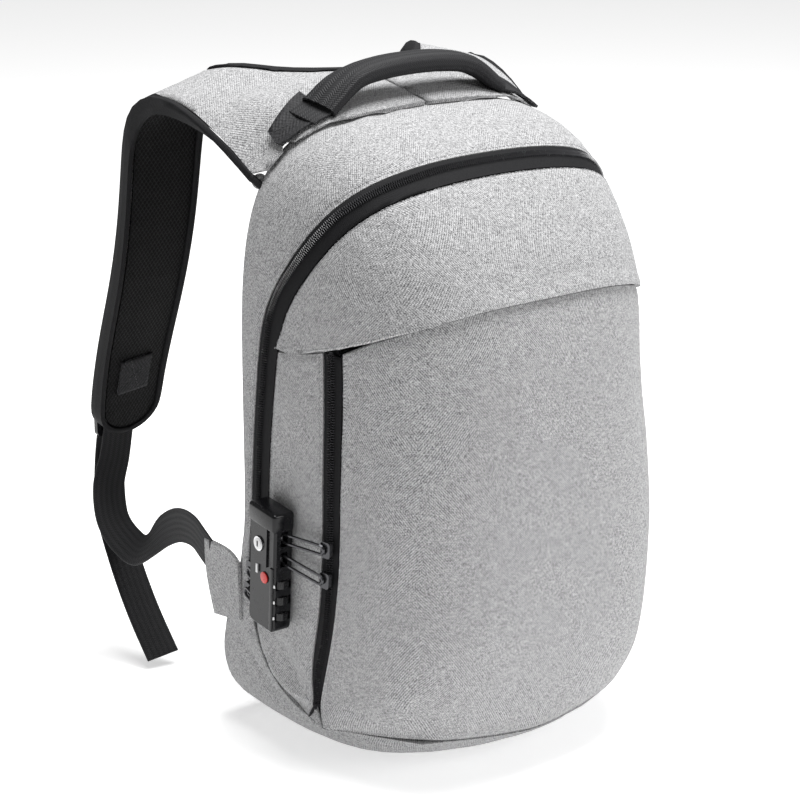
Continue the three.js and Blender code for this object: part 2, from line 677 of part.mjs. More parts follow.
// Zips: a tape sunk between the panels, and the closed coil on it
function zipBand(angles, middle, half, high, low, columns) {
  const turns = (angle) => columns.map((share) => slide(angle, middle(angle), share * half(angle)));
  return wallSolid(
    angles.map((angle) => ({ angle, turns: turns(angle) })),
    (row) => row.turns.map((turn, i) => ({ turn, share: columns[i] })),
    (row, c) => overBag(row.angle, c.turn, high(c.share)),
    (row, c) => overBag(row.angle, c.turn, low),
  );
}
function placeZip(name, from, to, middle, half) {
  const angles = between(from, to);
  const tapeHalf = (angle) => Math.max(half(angle) - SEAM_GAP * 2.5, 0.3);
  const coilHalf = (angle) => Math.min(COIL_WIDTH / 2, tapeHalf(angle) * 0.8);
  const top = (share) => COIL_HEIGHT - ZIP_RECESS + SEAM_GAP - COIL_HEIGHT * 0.6 * share ** 4;
  const foot = -ZIP_RECESS + SEAM_GAP;
  place(name + "_tape", zipBand(angles, middle, tapeHalf, () => -ZIP_RECESS, -ZIP_RECESS - ZIP_TAPE_WALL, [-1, 0, 1]), blackTape);
  place(name + "_coil", zipBand(angles, middle, coilHalf, top, foot, [-1, -0.5, 0.5, 1]), coilNylon);
}

// The padded mesh panel on the back
function backPanel() {
  const lift = (spread) => BACK_PAD * (1 - 0.45 * (spread / BACK_PAD_SPREAD) ** 4);
  return wallSolid(
    AROUND,
    () => BACK_SPREADS,
    (a, spread) => backPoint(a, spread, -SEAM_GAP),
    (a, spread) => backPoint(a, spread, -SEAM_GAP - lift(spread)),
    true,
  );
}

// Shoulder straps, modelled for the left side (negative X) and mirrored
const outlineHeight = (x) => {
  const reach = BAG_HEIGHT - MIDDLE_HEIGHT;
  const share = Math.min(Math.abs(x) / BAG_HALF_WIDTH, 1);
  return MIDDLE_HEIGHT + reach * (1 - share ** CROWN_ROUNDNESS) ** (1 / CROWN_ROUNDNESS);
};
function strapEdge(edge, run) {
  const column = (axis) => tableAt(STRAP_PATH, "run", edge + axis, run);
  return new THREE.Vector3(-column("X") * BAG_HALF_WIDTH, column("Y") * STRAP_REACH, column("Z") * BAG_HEIGHT);
}
function strapMiddle(run, w) {
  const outer = strapEdge("outer", run);
  const inner = strapEdge("inner", run);
  const p = outer.clone().lerp(inner, w);
  const seated = 1 - smoothstep(run, 0.03, 0.2);
  const arch = outlineHeight(p.x) - lerp(outlineHeight(outer.x), outlineHeight(inner.x), w);
  p.z += arch * seated;
  p.y -= STRAP_FRONT_BOW * 4 * w * (1 - w) * (1 - smoothstep(run, 0, 0.08));
  return p;
}
function strapPoint(run, w, lift) {
  const r = clamp(run, 0.003, 0.997);
  const v = clamp(w, 0.01, 0.99);
  const along = strapMiddle(r + 0.003, v).sub(strapMiddle(r - 0.003, v));
  const across = strapMiddle(r, v + 0.01).sub(strapMiddle(r, v - 0.01));
  const normal = across.cross(along).normalize();
  return strapMiddle(run, w).addScaledVector(normal, lift);
}
const strapThickness = (run) => lerp(STRAP_ROOT_THICKNESS, STRAP_THICKNESS, smoothstep(run, 0.02, 0.3));
const STRAP_LENGTH = stations(0, 1, 60).reduce(
  (sum, run) => sum + strapMiddle(run, 0.5).distanceTo(strapMiddle(Math.min(run + 1 / 60, 1), 0.5)),
  0,
);
const STRAP_ROUND = 1 - STRAP_END_RADIUS / STRAP_LENGTH;

// The strap's width shares at a place along it, inset from its edges and rounded at its end
function strapLimits(run, inset) {
  const rate = (w) => strapMiddle(run, w).distanceTo(strapMiddle(run, w + 0.02)) / 0.02;
  const past = Math.max(run - STRAP_ROUND, 0) / (1 - STRAP_ROUND - inset / STRAP_LENGTH);
  const shrink = Math.sqrt(Math.max(1 - past * past, 0));
  const seam = lerp(SEAM_GAP, inset, smoothstep(run, BINDING_START.inner - 0.02, BINDING_START.inner));
  return [0.5 - (0.5 - inset / rate(0)) * shrink, 0.5 + (0.5 - seam / rate(0.98)) * shrink];
}
function strapRuns(inset, from) {
  const end = 1 - inset / STRAP_LENGTH;
  const round = stations(0, 1, 5).map((k) => lerp(STRAP_ROUND, end, Math.sin((k * Math.PI) / 2.1)));
  return [...stations(0, STRAP_ROUND, STRAP_STEPS).slice(0, -1), ...round].slice(from);
}
function strapSlab(inset, from, high, low) {
  return wallSolid(
    strapRuns(inset, from),
    (run) => stations(...strapLimits(run, inset), 4),
    (run, w) => strapPoint(run, w, high(run)),
    (run, w) => strapPoint(run, w, low(run)),
  );
}
function strapBinding() {
  const inset = BINDING_WIDTH / 2;
  const end = 1 - inset / STRAP_LENGTH;
  const edge = (side, run) => ({ run, w: strapLimits(run, inset)[side] });
  const down = (from) => stations(from, STRAP_ROUND, STRAP_STEPS - 4);
  const arc = stations(-1, 1, 8).slice(1, -1);
  const corners = [
    ...down(BINDING_START.outer).map((run) => edge(0, run)),
    ...arc.map((k) => {
      const angle = (k * Math.PI) / 2;
      const run = lerp(STRAP_ROUND, end, Math.cos(angle));
      const [low, high] = strapLimits(STRAP_ROUND, inset);
      return { run, w: 0.5 + Math.sin(angle) * (high - low) / 2 };
    }),
    ...down(BINDING_START.inner).reverse().map((run) => edge(1, run)),
  ];
  const path = corners.map(({ run, w }) => ({ place: strapPoint(run, w, 0), run, w }));
  path.forEach((station, i) => {
    const before = path[Math.max(i - 1, 0)].place;
    const after = path[Math.min(i + 1, path.length - 1)].place;
    const along = after.clone().sub(before).normalize();
    const up = strapPoint(station.run, station.w, 1).sub(station.place);
    station.up = up.addScaledVector(along, -up.dot(along)).normalize();
    station.across = along.clone().cross(station.up);
  });
  return sweepSolid(path, (station) => {
    const tall = strapThickness(station.run) / 2 + BINDING_PROUD;
    const wide = BINDING_WIDTH / 2 - SEAM_GAP / 2;
    return [
      [-wide, -tall],
      [wide * 0.5, -tall],
      [wide, -tall * 0.6],
      [wide, tall * 0.6],
      [wide * 0.5, tall],
      [-wide, tall],
    ];
  });
}

const envelope = bodyEnvelope(SEAM_GAP);
const strapPadTop = (run) => strapThickness(run) / 2;
const meshStart = strapRuns(0, 0)[STRAP_MESH_STATION];
const meshShare = (run) => MESH_WALL * (run >= meshStart - 1e-6 ? 1 : 0);
const padInset = BINDING_WIDTH + SEAM_GAP / 2;

// A small flat piece laid over the strap, between corners given as run and width share
function strapOverlay(corners, low, high, steps = 3) {
  const [a, b, c, d] = corners;
  const at = (u, v, key) => lerp(lerp(a[key], b[key], u), lerp(d[key], c[key], u), v);
  return wallSolid(
    stations(0, 1, steps),
    () => stations(0, 1, steps),
    (u, v) => strapPoint(at(u, v, "run"), at(u, v, "w"), high(at(u, v, "run"))),
    (u, v) => strapPoint(at(u, v, "run"), at(u, v, "w"), low(at(u, v, "run"))),
  );
}

// The carrying handle: webbing whose flat ends are sewn down and whose grip is folded narrow
function handleGrip() {
  const lift = WEBBING_WALL * 1.5 + 2 * SEAM_GAP;
  const flat = HANDLE_FOOT.w.map((w) => strapPoint(HANDLE_FOOT.run, w, strapPadTop(HANDLE_FOOT.run) + lift));
  const foot = flat[flat.length - 1];
  const arc = HANDLE_ARC.map(
    (row) => new THREE.Vector3(foot.x * row.out, foot.y, lerp(foot.z, BAG_HEIGHT + HANDLE_HEIGHT, row.rise)),
  );
  const half = [...flat, ...arc];
  const other = half.slice(0, -1).reverse().map((p) => new THREE.Vector3(-p.x, p.y, p.z));
  const curve = new THREE.CatmullRomCurve3([...half, ...other], false, "centripetal");
  const [w] = HANDLE_FOOT.w;
  const slope = strapPoint(HANDLE_FOOT.run + 0.01, w, 0).sub(strapPoint(HANDLE_FOOT.run - 0.01, w, 0)).normalize();
  const path = stationsAlong(curve, 20, (share) => {
    const level = smoothstep(1 - Math.abs(2 * share - 1), 0.25, 0.6);
    const across = slope.clone().lerp(new THREE.Vector3(0, 1, 0), level);
    across.x *= share < 0.5 ? 1 : -1;
    return across.negate();
  });
  return sweepSolid(path, (station) => {
    const share = 1 - Math.abs(2 * station.share - 1);
    const fold = smoothstep(share, 0.2, 0.5);
    const wide = lerp(HANDLE_WIDTH, HANDLE_GRIP_WIDTH, fold) / 2;
    const tall = lerp(WEBBING_WALL, HANDLE_GRIP_THICKNESS, fold) / 2;
    return [
      [-wide, -tall * 0.5],
      [-wide * 0.8, -tall],
      [wide * 0.8, -tall],
      [wide, -tall * 0.5],
      [wide, tall * 0.5],
      [wide * 0.8, tall],
      [-wide * 0.8, tall],
      [-wide, tall * 0.5],
    ];
  });
}

// The fabric wings low on the bag's sides, where the strap webbing is sewn in
function wing() {
  const corners = WING_OUTLINE.map((row) => [row.back * WING_REACH, row.height * WING_HEIGHT + WING_FOOT]);
  const shape = new THREE.Shape(corners.map(([y, z]) => new THREE.Vector2(y, z)));
  const slab = new THREE.ExtrudeGeometry(shape, { depth: WING_WALL, bevelEnabled: false, steps: 1 });
  slab.applyMatrix4(new THREE.Matrix4().makeBasis(
    new THREE.Vector3(0, 1, 0),
    new THREE.Vector3(0, 0, 1),
    new THREE.Vector3(1, 0, 0),
  ));
  slab.translate(-BAG_HALF_WIDTH - SEAM_GAP * 2 - WING_WALL, 0, 0);
  return cut(slab, envelope);
}

// Webbing between the pad and the wing, and the tail that hangs from the adjuster
function webbingStrip(rows, count) {
  const points = rows.map(
    (row) => new THREE.Vector3(-row.x * BAG_HALF_WIDTH, row.y * STRAP_REACH, row.z * BAG_HEIGHT),
  );
  const curve = new THREE.CatmullRomCurve3(points, false, "centripetal");
  const turned = (share) => tableAt(rows.map((row, i) => ({ ...row, share: i / (rows.length - 1) })), "share", "turned", share);
  const path = stationsAlong(curve, count, (share) => {
    const angle = radians(turned(share));
    return new THREE.Vector3(Math.cos(angle), 0, Math.sin(angle));
  });
  return sweepSolid(path, flatSection(WEBBING_WIDTH, WEBBING_WALL));
}

const roundedRect = (width, height, radius) => {
  const shape = new THREE.Shape();
  const w = width / 2;
  const h = height / 2;
  shape.moveTo(-w + radius, -h);
  shape.lineTo(w - radius, -h);
  shape.absarc(w - radius, -h + radius, radius, -Math.PI / 2, 0, false);
  shape.lineTo(w, h - radius);
  shape.absarc(w - radius, h - radius, radius, 0, Math.PI / 2, false);
  shape.lineTo(-w + radius, h);
  shape.absarc(-w + radius, h - radius, radius, Math.PI / 2, Math.PI, false);
  shape.lineTo(-w, -h + radius);
  shape.absarc(-w + radius, -h + radius, radius, Math.PI, Math.PI * 1.5, false);
  return shape;
};

// The adjuster's frame: a plate with two slots, lying across the webbing
function adjusterFrame() {
  const shape = roundedRect(ADJUSTER_WIDTH, ADJUSTER_HEIGHT, 3);
  const slot = (ADJUSTER_HEIGHT - 3 * ADJUSTER_BAR) / 2;
  for (const side of [-1, 1]) {
    const hole = roundedRect(WEBBING_WIDTH + 1.5, slot, 1);
    const points = hole.getPoints(2).map((p) => p.add(new THREE.Vector2(0, (side * (slot + ADJUSTER_BAR)) / 2)));
    shape.holes.push(new THREE.Path(points));
  }
  const plate = new THREE.ExtrudeGeometry(shape, { depth: ADJUSTER_WALL, bevelEnabled: false, curveSegments: 2 });
  plate.translate(0, 0, -ADJUSTER_WALL / 2);
  plate.rotateX(Math.PI / 2);
  plate.translate(-ADJUSTER_PLACE.x * BAG_HALF_WIDTH, ADJUSTER_PLACE.y * STRAP_REACH, ADJUSTER_PLACE.z * BAG_HEIGHT);
  return solidFrom(trianglesOf(geometryOf(manifoldOf(plate))));
}

// The lock, in its own frame: X points away from the bag, Y to the back and Z up
const lockTurn = new THREE.Matrix4().makeRotationX(radians(LOCK_TILT));
const lockSeat = new THREE.Matrix4()
  .makeTranslation(-LOCK_PLACE.x * BAG_HALF_WIDTH, -LOCK_PLACE.y * BAG_DEPTH, LOCK_PLACE.z * BAG_HEIGHT)
  .multiply(lockTurn);
const lockPoint = (x, y, z) => new THREE.Vector3(-x, y, z).applyMatrix4(lockSeat);
const dialCentre = (i) => [LOCK_DEPTH / 2, -LOCK_WIDTH / 2 - DIAL_PROUD + DIAL_RADIUS, -LOCK_HEIGHT / 2 + 12 + i * DIAL_PITCH];
const keyCentre = [LOCK_DEPTH, 1.5, LOCK_HEIGHT / 2 - 25];
const boxAt = (sizeX, sizeY, sizeZ, x, y, z) => {
  const geometry = new THREE.BoxGeometry(sizeX, sizeY, sizeZ);
  geometry.translate(-x, y, z);
  return geometry;
};
const rodAlongX = (radius, length, x, y, z, sides = 20) => {
  const geometry = new THREE.CylinderGeometry(radius, radius, length, sides);
  geometry.rotateZ(Math.PI / 2);
  geometry.translate(-x, y, z);
  return geometry;
};
function lockCase() {
  const shape = roundedRect(LOCK_WIDTH - 2 * LOCK_BEVEL, LOCK_HEIGHT - 2 * LOCK_BEVEL, LOCK_ROUND);
  const slab = new THREE.ExtrudeGeometry(shape, {
    depth: LOCK_DEPTH - 2 * LOCK_BEVEL,
    bevelThickness: LOCK_BEVEL,
    bevelSize: LOCK_BEVEL,
    bevelSegments: 1,
    curveSegments: 3,
  });
  slab.translate(0, 0, LOCK_BEVEL);
  slab.applyMatrix4(new THREE.Matrix4().makeBasis(
    new THREE.Vector3(0, -1, 0),
    new THREE.Vector3(0, 0, 1),
    new THREE.Vector3(-1, 0, 0),
  ));
  const plate = boxAt(KEY_PLATE_PROUD + 1, KEY_PLATE_WIDTH, KEY_PLATE_HEIGHT, LOCK_DEPTH + KEY_PLATE_PROUD / 2 - 0.5, keyCentre[1], keyCentre[2]);
  const joined = manifoldOf(slab).add(manifoldOf(plate));
  const dials = [0, 1, 2].map((i) => {
    const [x, y, z] = dialCentre(i);
    const size = 2 * (DIAL_RADIUS + DIAL_GAP);
    return manifoldOf(boxAt(size, size + 4, DIAL_HEIGHT + 2 * DIAL_GAP, x, y - 2, z));
  });
  const keyHole = manifoldOf(rodAlongX(KEY_RADIUS + 0.3, 8, ...keyCentre));
  const slots = PULL_SLOTS.map((slot) =>
    manifoldOf(boxAt(5.4, 14, PULL_WIDTH + 4.4, LOCK_DEPTH * 0.5, (slot.side * LOCK_WIDTH) / 2, slot.height * LOCK_HEIGHT)),
  );
  return [...dials, keyHole, ...slots].reduce((rest, tool) => rest.subtract(tool), joined);
}
const inLock = (geometry) => geometry.applyMatrix4(lockSeat);
function lockDial(i) {
  const dial = new THREE.CylinderGeometry(DIAL_RADIUS, DIAL_RADIUS, DIAL_HEIGHT, 20);
  dial.rotateX(Math.PI / 2);
  const [x, y, z] = dialCentre(i);
  dial.translate(-x, y, z);
  return solidFrom(trianglesOf(geometryOf(manifoldOf(inLock(dial)))));
}

// A wire loop between a slider and the lock
function wireLoop(from, to, spread) {
  const along = to.clone().sub(from);
  const reach = along.length();
  along.normalize();
  const side = spread.clone().addScaledVector(along, -spread.dot(along)).normalize();
  const up = along.clone().cross(side).normalize();
  const radius = PULL_WIDTH / 2;
  const turnAt = (centre, start) =>
    stations(0, Math.PI, 5).map((a) => {
      const angle = start + a;
      return centre
        .clone()
        .addScaledVector(side, radius * Math.cos(angle))
        .addScaledVector(along, radius * Math.sin(angle));
    });
  const near = from.clone().addScaledVector(along, radius);
  const far = from.clone().addScaledVector(along, reach - radius);
  const ring = [...turnAt(far, 0), ...turnAt(near, Math.PI)];
  const path = ring.map((place, i) => {
    const next = ring[(i + 1) % ring.length];
    const last = ring[(i + ring.length - 1) % ring.length];
    const tangent = next.clone().sub(last).normalize();
    return { place, up: up.clone(), across: tangent.clone().cross(up).normalize() };
  });
  return sweepSolid(path, roundSection(PULL_WIRE, 6), true);
}

// A slider on a zip's coil: where it sits, and its body
function sliderAt(middle, height, side) {
  const angle = radians(meeting(-60, -150, (a) => bagPoint(a, middle(a)).z, () => height));
  const turn = middle(angle);
  const normal = bagNormal(angle, turn);
  const place = overBag(angle, turn, COIL_HEIGHT - ZIP_RECESS + 2 * SEAM_GAP + SLIDER_HEIGHT / 2);
  const along = bagPoint(angle + 0.01, middle(angle + 0.01)).sub(bagPoint(angle - 0.01, middle(angle - 0.01))).normalize();
  const across = along.clone().cross(normal).normalize();
  return { place, normal, along, across };
}
function sliderBody(seat) {
  const shape = roundedRect(SLIDER_WIDTH, SLIDER_LENGTH, 2);
  const slab = new THREE.ExtrudeGeometry(shape, { depth: SLIDER_HEIGHT, bevelEnabled: false, curveSegments: 3 });
  slab.translate(0, 0, -SLIDER_HEIGHT / 2);
  slab.applyMatrix4(new THREE.Matrix4().makeBasis(seat.across, seat.along, seat.normal).setPosition(seat.place));
  return solidFrom(trianglesOf(geometryOf(manifoldOf(slab))));
}

place("main_shell", mainShell(), greyFabric);
place("front_yoke", frontYoke(), greyFabric);
place("pocket_panel", pocketPanel(), greyFabric);
place("side_strip", sideStrip(), greyFabric);
const zipEnd = MAIN_ZIP_END - 3;
placeZip("main_zip", -zipEnd, zipEnd, mainSeamTurn, mainSeamHalf);
placeZip("pocket_zip", pocketFoot, pocketTop - 1, pocketTurn, pocketHalf);
place("back_panel", backPanel(), blackMesh);

const padHigh = (run) => strapPadTop(run);
const padLow = (run) => -strapPadTop(run) + (meshShare(run) > 0 ? meshShare(run) + SEAM_GAP : 0);
const strapPad = cut(strapSlab(padInset, 0, padHigh, padLow), envelope);
const strapMesh = strapSlab(
  padInset,
  STRAP_MESH_STATION,
  (run) => -strapPadTop(run),
  (run) => -strapPadTop(run) + MESH_WALL,
);
placePair("strap_pad", strapPad, greyFabric);
placePair("strap_mesh", strapMesh, blackMesh);
const grownPad = manifoldOf(
  strapSlab(padInset - 2 * SEAM_GAP, 0, (run) => padHigh(run) + SEAM_GAP, (run) => -strapPadTop(run) - SEAM_GAP),
);
const strapBody = [strapPad, strapMesh].map(manifoldOf);
placePair("strap_binding", cut(strapBinding(), envelope, grownPad, ...strapBody), blackTape);
const patchLow = (run) => -strapPadTop(run) - SEAM_GAP;
placePair(
  "strap_patch",
  strapOverlay(STRAP_PATCH, patchLow, (run) => patchLow(run) - WEBBING_WALL),
  blackWebbing,
);
const padTop = (run) => strapPadTop(run) + SEAM_GAP;
const handlePatch = strapOverlay(HANDLE_PATCH, padTop, (run) => padTop(run) + WEBBING_WALL, 5);
placePair("handle_patch", cut(handlePatch, grownPad), blackWebbing);
const grownPatch = strapOverlay(HANDLE_PATCH, padTop, (run) => padTop(run) + WEBBING_WALL + SEAM_GAP, 5);
const handleBlocks = [grownPatch, mirrored(grownPatch)].map(manifoldOf);
place("top_handle", cut(handleGrip(), grownPad, manifoldOf(mirrored(geometryOf(grownPad))), ...handleBlocks), blackWebbing);
placePair("strap_tab", cut(strapOverlay(STRAP_TAB, padTop, (run) => padTop(run) + WEBBING_WALL), grownPad), greyFabric);
placePair("adjuster", adjusterFrame(), lockPlastic);
const wingTip = 0.94 * WING_REACH + SEAM_GAP;
const wingSide = manifoldOf(boxAt(60, wingTip, 80, BAG_HALF_WIDTH, wingTip / 2, WING_FOOT + WING_HEIGHT / 2));
placePair("strap_webbing", cut(webbingStrip(WEBBING_PATH, 34), wingSide), blackWebbing);
placePair("strap_tail", webbingStrip(TAIL_PATH, 18), blackWebbing);
placePair("wing", wing(), greyFabric);

const lock = geometryOf(lockCase());
place("lock_case", inLock(lock), lockPlastic);
const key = rodAlongX(KEY_RADIUS, KEY_PROUD + 3, keyCentre[0] + KEY_PLATE_PROUD + KEY_PROUD / 2 - 1.5, keyCentre[1], keyCentre[2]);
place("lock_key_cylinder", solidFrom(trianglesOf(geometryOf(manifoldOf(inLock(key))))), steel);
for (const i of [0, 1, 2]) place("lock_dial_" + (i + 1), lockDial(i), dialPlastic);
const mark = boxAt(0.8, 6, 9, LOCK_DEPTH + SEAM_GAP + 0.4, -4, -LOCK_HEIGHT / 2 + 38);
place("lock_mark", solidFrom(trianglesOf(geometryOf(manifoldOf(inLock(mark))))), signalRed);

for (const row of PULLS) {
  const middle = row.zip === "main" ? mainSeamTurn : pocketTurn;
  const seat = sliderAt(middle, row.slider * BAG_HEIGHT);
  place(row.name + "_slider", sliderBody(seat), lockPlastic);
  const slot = PULL_SLOTS[row.slot];
  const end = lockPoint(LOCK_DEPTH * 0.5, (slot.side * LOCK_WIDTH) / 2 - slot.side * 4, slot.height * LOCK_HEIGHT);
  const top = seat.place.clone().addScaledVector(seat.normal, SLIDER_HEIGHT / 2 + PULL_WIRE + SEAM_GAP);
  place(row.name + "_pull", wireLoop(top, end, new THREE.Vector3(0, 0, 1)), lockPlastic);
}

export default group;
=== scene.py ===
import json
import math

import bmesh
import bpy
import numpy as np
from mathutils import Matrix, Vector, kdtree, noise
from mathutils.bvhtree import BVHTree

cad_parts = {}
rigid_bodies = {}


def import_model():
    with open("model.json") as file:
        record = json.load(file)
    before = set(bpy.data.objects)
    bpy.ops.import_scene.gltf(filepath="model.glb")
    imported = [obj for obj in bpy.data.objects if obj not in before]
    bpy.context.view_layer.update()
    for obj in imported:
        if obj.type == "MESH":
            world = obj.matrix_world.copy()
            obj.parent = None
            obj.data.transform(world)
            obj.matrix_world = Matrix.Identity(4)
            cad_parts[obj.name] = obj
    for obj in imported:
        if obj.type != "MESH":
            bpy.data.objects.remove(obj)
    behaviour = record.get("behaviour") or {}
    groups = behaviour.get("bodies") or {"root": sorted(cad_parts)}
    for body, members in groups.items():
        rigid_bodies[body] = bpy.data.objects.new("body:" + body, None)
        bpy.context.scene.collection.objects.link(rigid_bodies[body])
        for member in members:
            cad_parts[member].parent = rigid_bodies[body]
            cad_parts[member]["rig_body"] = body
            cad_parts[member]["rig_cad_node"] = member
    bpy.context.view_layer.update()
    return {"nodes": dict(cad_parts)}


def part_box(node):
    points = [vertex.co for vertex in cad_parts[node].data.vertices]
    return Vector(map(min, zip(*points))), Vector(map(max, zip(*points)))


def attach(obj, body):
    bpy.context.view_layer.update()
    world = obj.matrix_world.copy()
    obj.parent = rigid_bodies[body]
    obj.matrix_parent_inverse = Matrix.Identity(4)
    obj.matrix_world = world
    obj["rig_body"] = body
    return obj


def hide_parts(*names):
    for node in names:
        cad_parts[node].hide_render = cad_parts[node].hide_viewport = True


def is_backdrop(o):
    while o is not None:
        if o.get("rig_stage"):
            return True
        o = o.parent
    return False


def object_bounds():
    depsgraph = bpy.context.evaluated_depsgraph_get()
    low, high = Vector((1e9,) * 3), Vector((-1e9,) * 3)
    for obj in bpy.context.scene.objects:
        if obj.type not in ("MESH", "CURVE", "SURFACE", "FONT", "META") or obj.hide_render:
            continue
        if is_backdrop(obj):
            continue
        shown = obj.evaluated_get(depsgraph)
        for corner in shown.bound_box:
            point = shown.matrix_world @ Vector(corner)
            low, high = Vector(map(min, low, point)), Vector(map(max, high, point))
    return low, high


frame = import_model()
cadNodes = frame["nodes"]

# Where the photograph was taken from
viewPlace = {
    "eye": (-0.9513, -1.2871, 0.7443),
    "target": (-0.05005, -0.0616, 0.2433),
    "lens": 108.1,
    "sensor": 36.0,
}

# The colours of each finish, and the painted shade in the air mesh's holes
finishes = {
    "greyLight": (0.60, 0.60, 0.605, 1.0),
    "greyDark": (0.10, 0.10, 0.103, 1.0),
    "blackCloth": (0.004, 0.004, 0.005, 1.0),
    "blackClothLight": (0.014, 0.014, 0.015, 1.0),
    "webbingDark": (0.004, 0.004, 0.005, 1.0),
    "webbingLight": (0.032, 0.032, 0.034, 1.0),
    "meshThread": (0.012, 0.012, 0.013, 1.0),
    # painted shade: the near-black colour of the air mesh's holes
    "meshHoleShade": (0.0006, 0.0006, 0.0006, 1.0),
    "coil": (0.045, 0.045, 0.048, 1.0),
    "plastic": (0.005, 0.005, 0.006, 1.0),
    "wire": (0.060, 0.060, 0.064, 1.0),
    "dial": (0.006, 0.006, 0.007, 1.0),
    "steel": (0.62, 0.62, 0.63, 1.0),
    "red": (0.55, 0.020, 0.015, 1.0),
    "white": (0.80, 0.80, 0.80, 1.0),
    "greyStitch": (0.34, 0.34, 0.35, 1.0),
    "blackStitch": (0.045, 0.045, 0.05, 1.0),
}
bagMiddle = Vector((0.0, -0.075, 0.215))


# Camera first, then the floor and the lights

def placeCamera():
    bpy.ops.object.select_all(action="DESELECT")
    bpy.ops.object.camera_add(location=viewPlace["eye"])
    camera = bpy.context.object
    aim = Vector(viewPlace["target"]) - Vector(viewPlace["eye"])
    camera.rotation_euler = aim.to_track_quat("-Z", "Y").to_euler()
    camera.data.lens = viewPlace["lens"]
    camera.data.sensor_width = viewPlace["sensor"]
    camera.data.clip_start = 0.05
    camera.data.clip_end = 30.0
    bpy.context.scene.camera = camera


studio = {
    "floorSize": 9.0,
    "floorGlow": 0.50,
    "floorDark": (0.90, 0.90, 0.90, 1),
    "floorLight": (0.93, 0.93, 0.93, 1),
    "worldStrength": 0.26,
    "aim": (0.0, 0.0, 0.25),
    "lamps": {
        "overhead": {"place": (0.25, 0.05, 2.1), "size": 1.2, "power": 61.0},
        "frontSoft": {"place": (1.1, -2.1, 1.2), "size": 1.3, "power": 22.0},
    },
}


def addLamp(name, look):
    bpy.ops.object.light_add(type="AREA", location=look["place"])
    lamp = bpy.context.object
    lamp.name = name
    lamp.data.shape = "RECTANGLE"
    lamp.data.size = look["size"]
    lamp.data.size_y = look["size"]
    lamp.data.energy = look["power"]
    aim = Vector(studio["aim"]) - Vector(look["place"])
    lamp.rotation_euler = aim.to_track_quat("-Z", "Y").to_euler()


def buildStudio():
    bpy.ops.object.select_all(action="DESELECT")
    bpy.ops.mesh.primitive_plane_add(size=studio["floorSize"])
    floor = bpy.context.object
    floor.name = "studio_floor"
    pale = newMaterial("paleFloor", roughness=0.9)
    grain = addNode(pale.node_tree, "ShaderNodeTexNoise", {"Scale": 3.0, "Detail": 2.0})
    tone = mixColour(pale.node_tree, grain.outputs["Fac"], studio["floorDark"], studio["floorLight"])
    feed(pale, "Base Color", tone)
    shader = pale.node_tree.nodes["Principled BSDF"]
    shader.inputs["Emission Color"].default_value = (1, 1, 1, 1)
    shader.inputs["Emission Strength"].default_value = studio["floorGlow"]
    floor.data.materials.append(pale)
    floor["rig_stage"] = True
    world = bpy.data.worlds.new("studioAir")
    bpy.context.scene.world = world
    world.use_nodes = True
    air = world.node_tree.nodes["Background"]
    air.inputs["Color"].default_value = (1, 1, 1, 1)
    air.inputs["Strength"].default_value = studio["worldStrength"]
    for name, look in studio["lamps"].items():
        addLamp(name, look)
    bpy.context.scene.view_settings.view_transform = "Standard"


# Node helpers

def addNode(tree, kind, inputs=None, **settings):
    made = tree.nodes.new(kind)
    for key, value in settings.items():
        setattr(made, key, value)
    for key, value in (inputs or {}).items():
        if isinstance(value, bpy.types.NodeSocket):
            tree.links.new(value, made.inputs[key])
        else:
            made.inputs[key].default_value = value
    return made


def calc(tree, operation, *values):
    made = tree.nodes.new("ShaderNodeMath")
    made.operation = operation
    for slot, value in enumerate(values):
        if isinstance(value, bpy.types.NodeSocket):
            tree.links.new(value, made.inputs[slot])
        else:
            made.inputs[slot].default_value = value
    return made.outputs[0]


def mixColour(tree, share, low, high):
    made = tree.nodes.new("ShaderNodeMix")
    made.data_type = "RGBA"
    for slot, value in ((0, share), (6, low), (7, high)):
        if isinstance(value, bpy.types.NodeSocket):
            tree.links.new(value, made.inputs[slot])
        else:
            made.inputs[slot].default_value = value
    return made.outputs[2]


def newGroup(name, inputs, outputs):
    group = bpy.data.node_groups.new(name, "ShaderNodeTree")
    for label, kind, value in inputs:
        socket = group.interface.new_socket(label, in_out="INPUT", socket_type="NodeSocket" + kind)
        if value is not None:
            socket.default_value = value
    for label, kind in outputs:
        group.interface.new_socket(label, in_out="OUTPUT", socket_type="NodeSocket" + kind)
    return group, group.nodes.new("NodeGroupInput"), group.nodes.new("NodeGroupOutput")


def placeGroup(material, group, inputs=None):
    made = material.node_tree.nodes.new("ShaderNodeGroup")
    made.node_tree = group
    for key, value in (inputs or {}).items():
        if isinstance(value, bpy.types.NodeSocket):
            material.node_tree.links.new(value, made.inputs[key])
        else:
            made.inputs[key].default_value = value
    return made


def newMaterial(name, roughness=0.8, sheen=0.0, metallic=0.0, specular=0.5):
    material = bpy.data.materials.new(name)
    material.use_nodes = True
    shader = material.node_tree.nodes["Principled BSDF"]
    shader.inputs["Roughness"].default_value = roughness
    shader.inputs["Metallic"].default_value = metallic
    shader.inputs["Sheen Weight"].default_value = sheen
    shader.inputs["Sheen Roughness"].default_value = 0.6
    shader.inputs["Specular IOR Level"].default_value = specular
    return material


def feed(material, socket, output):
    shader = material.node_tree.nodes["Principled BSDF"]
    material.node_tree.links.new(output, shader.inputs[socket])


def raiseSurface(material, height, strength, distance):
    bump = addNode(
        material.node_tree, "ShaderNodeBump", {"Height": height, "Strength": strength, "Distance": distance}
    )
    feed(material, "Normal", bump.outputs["Normal"])


# Shared effects

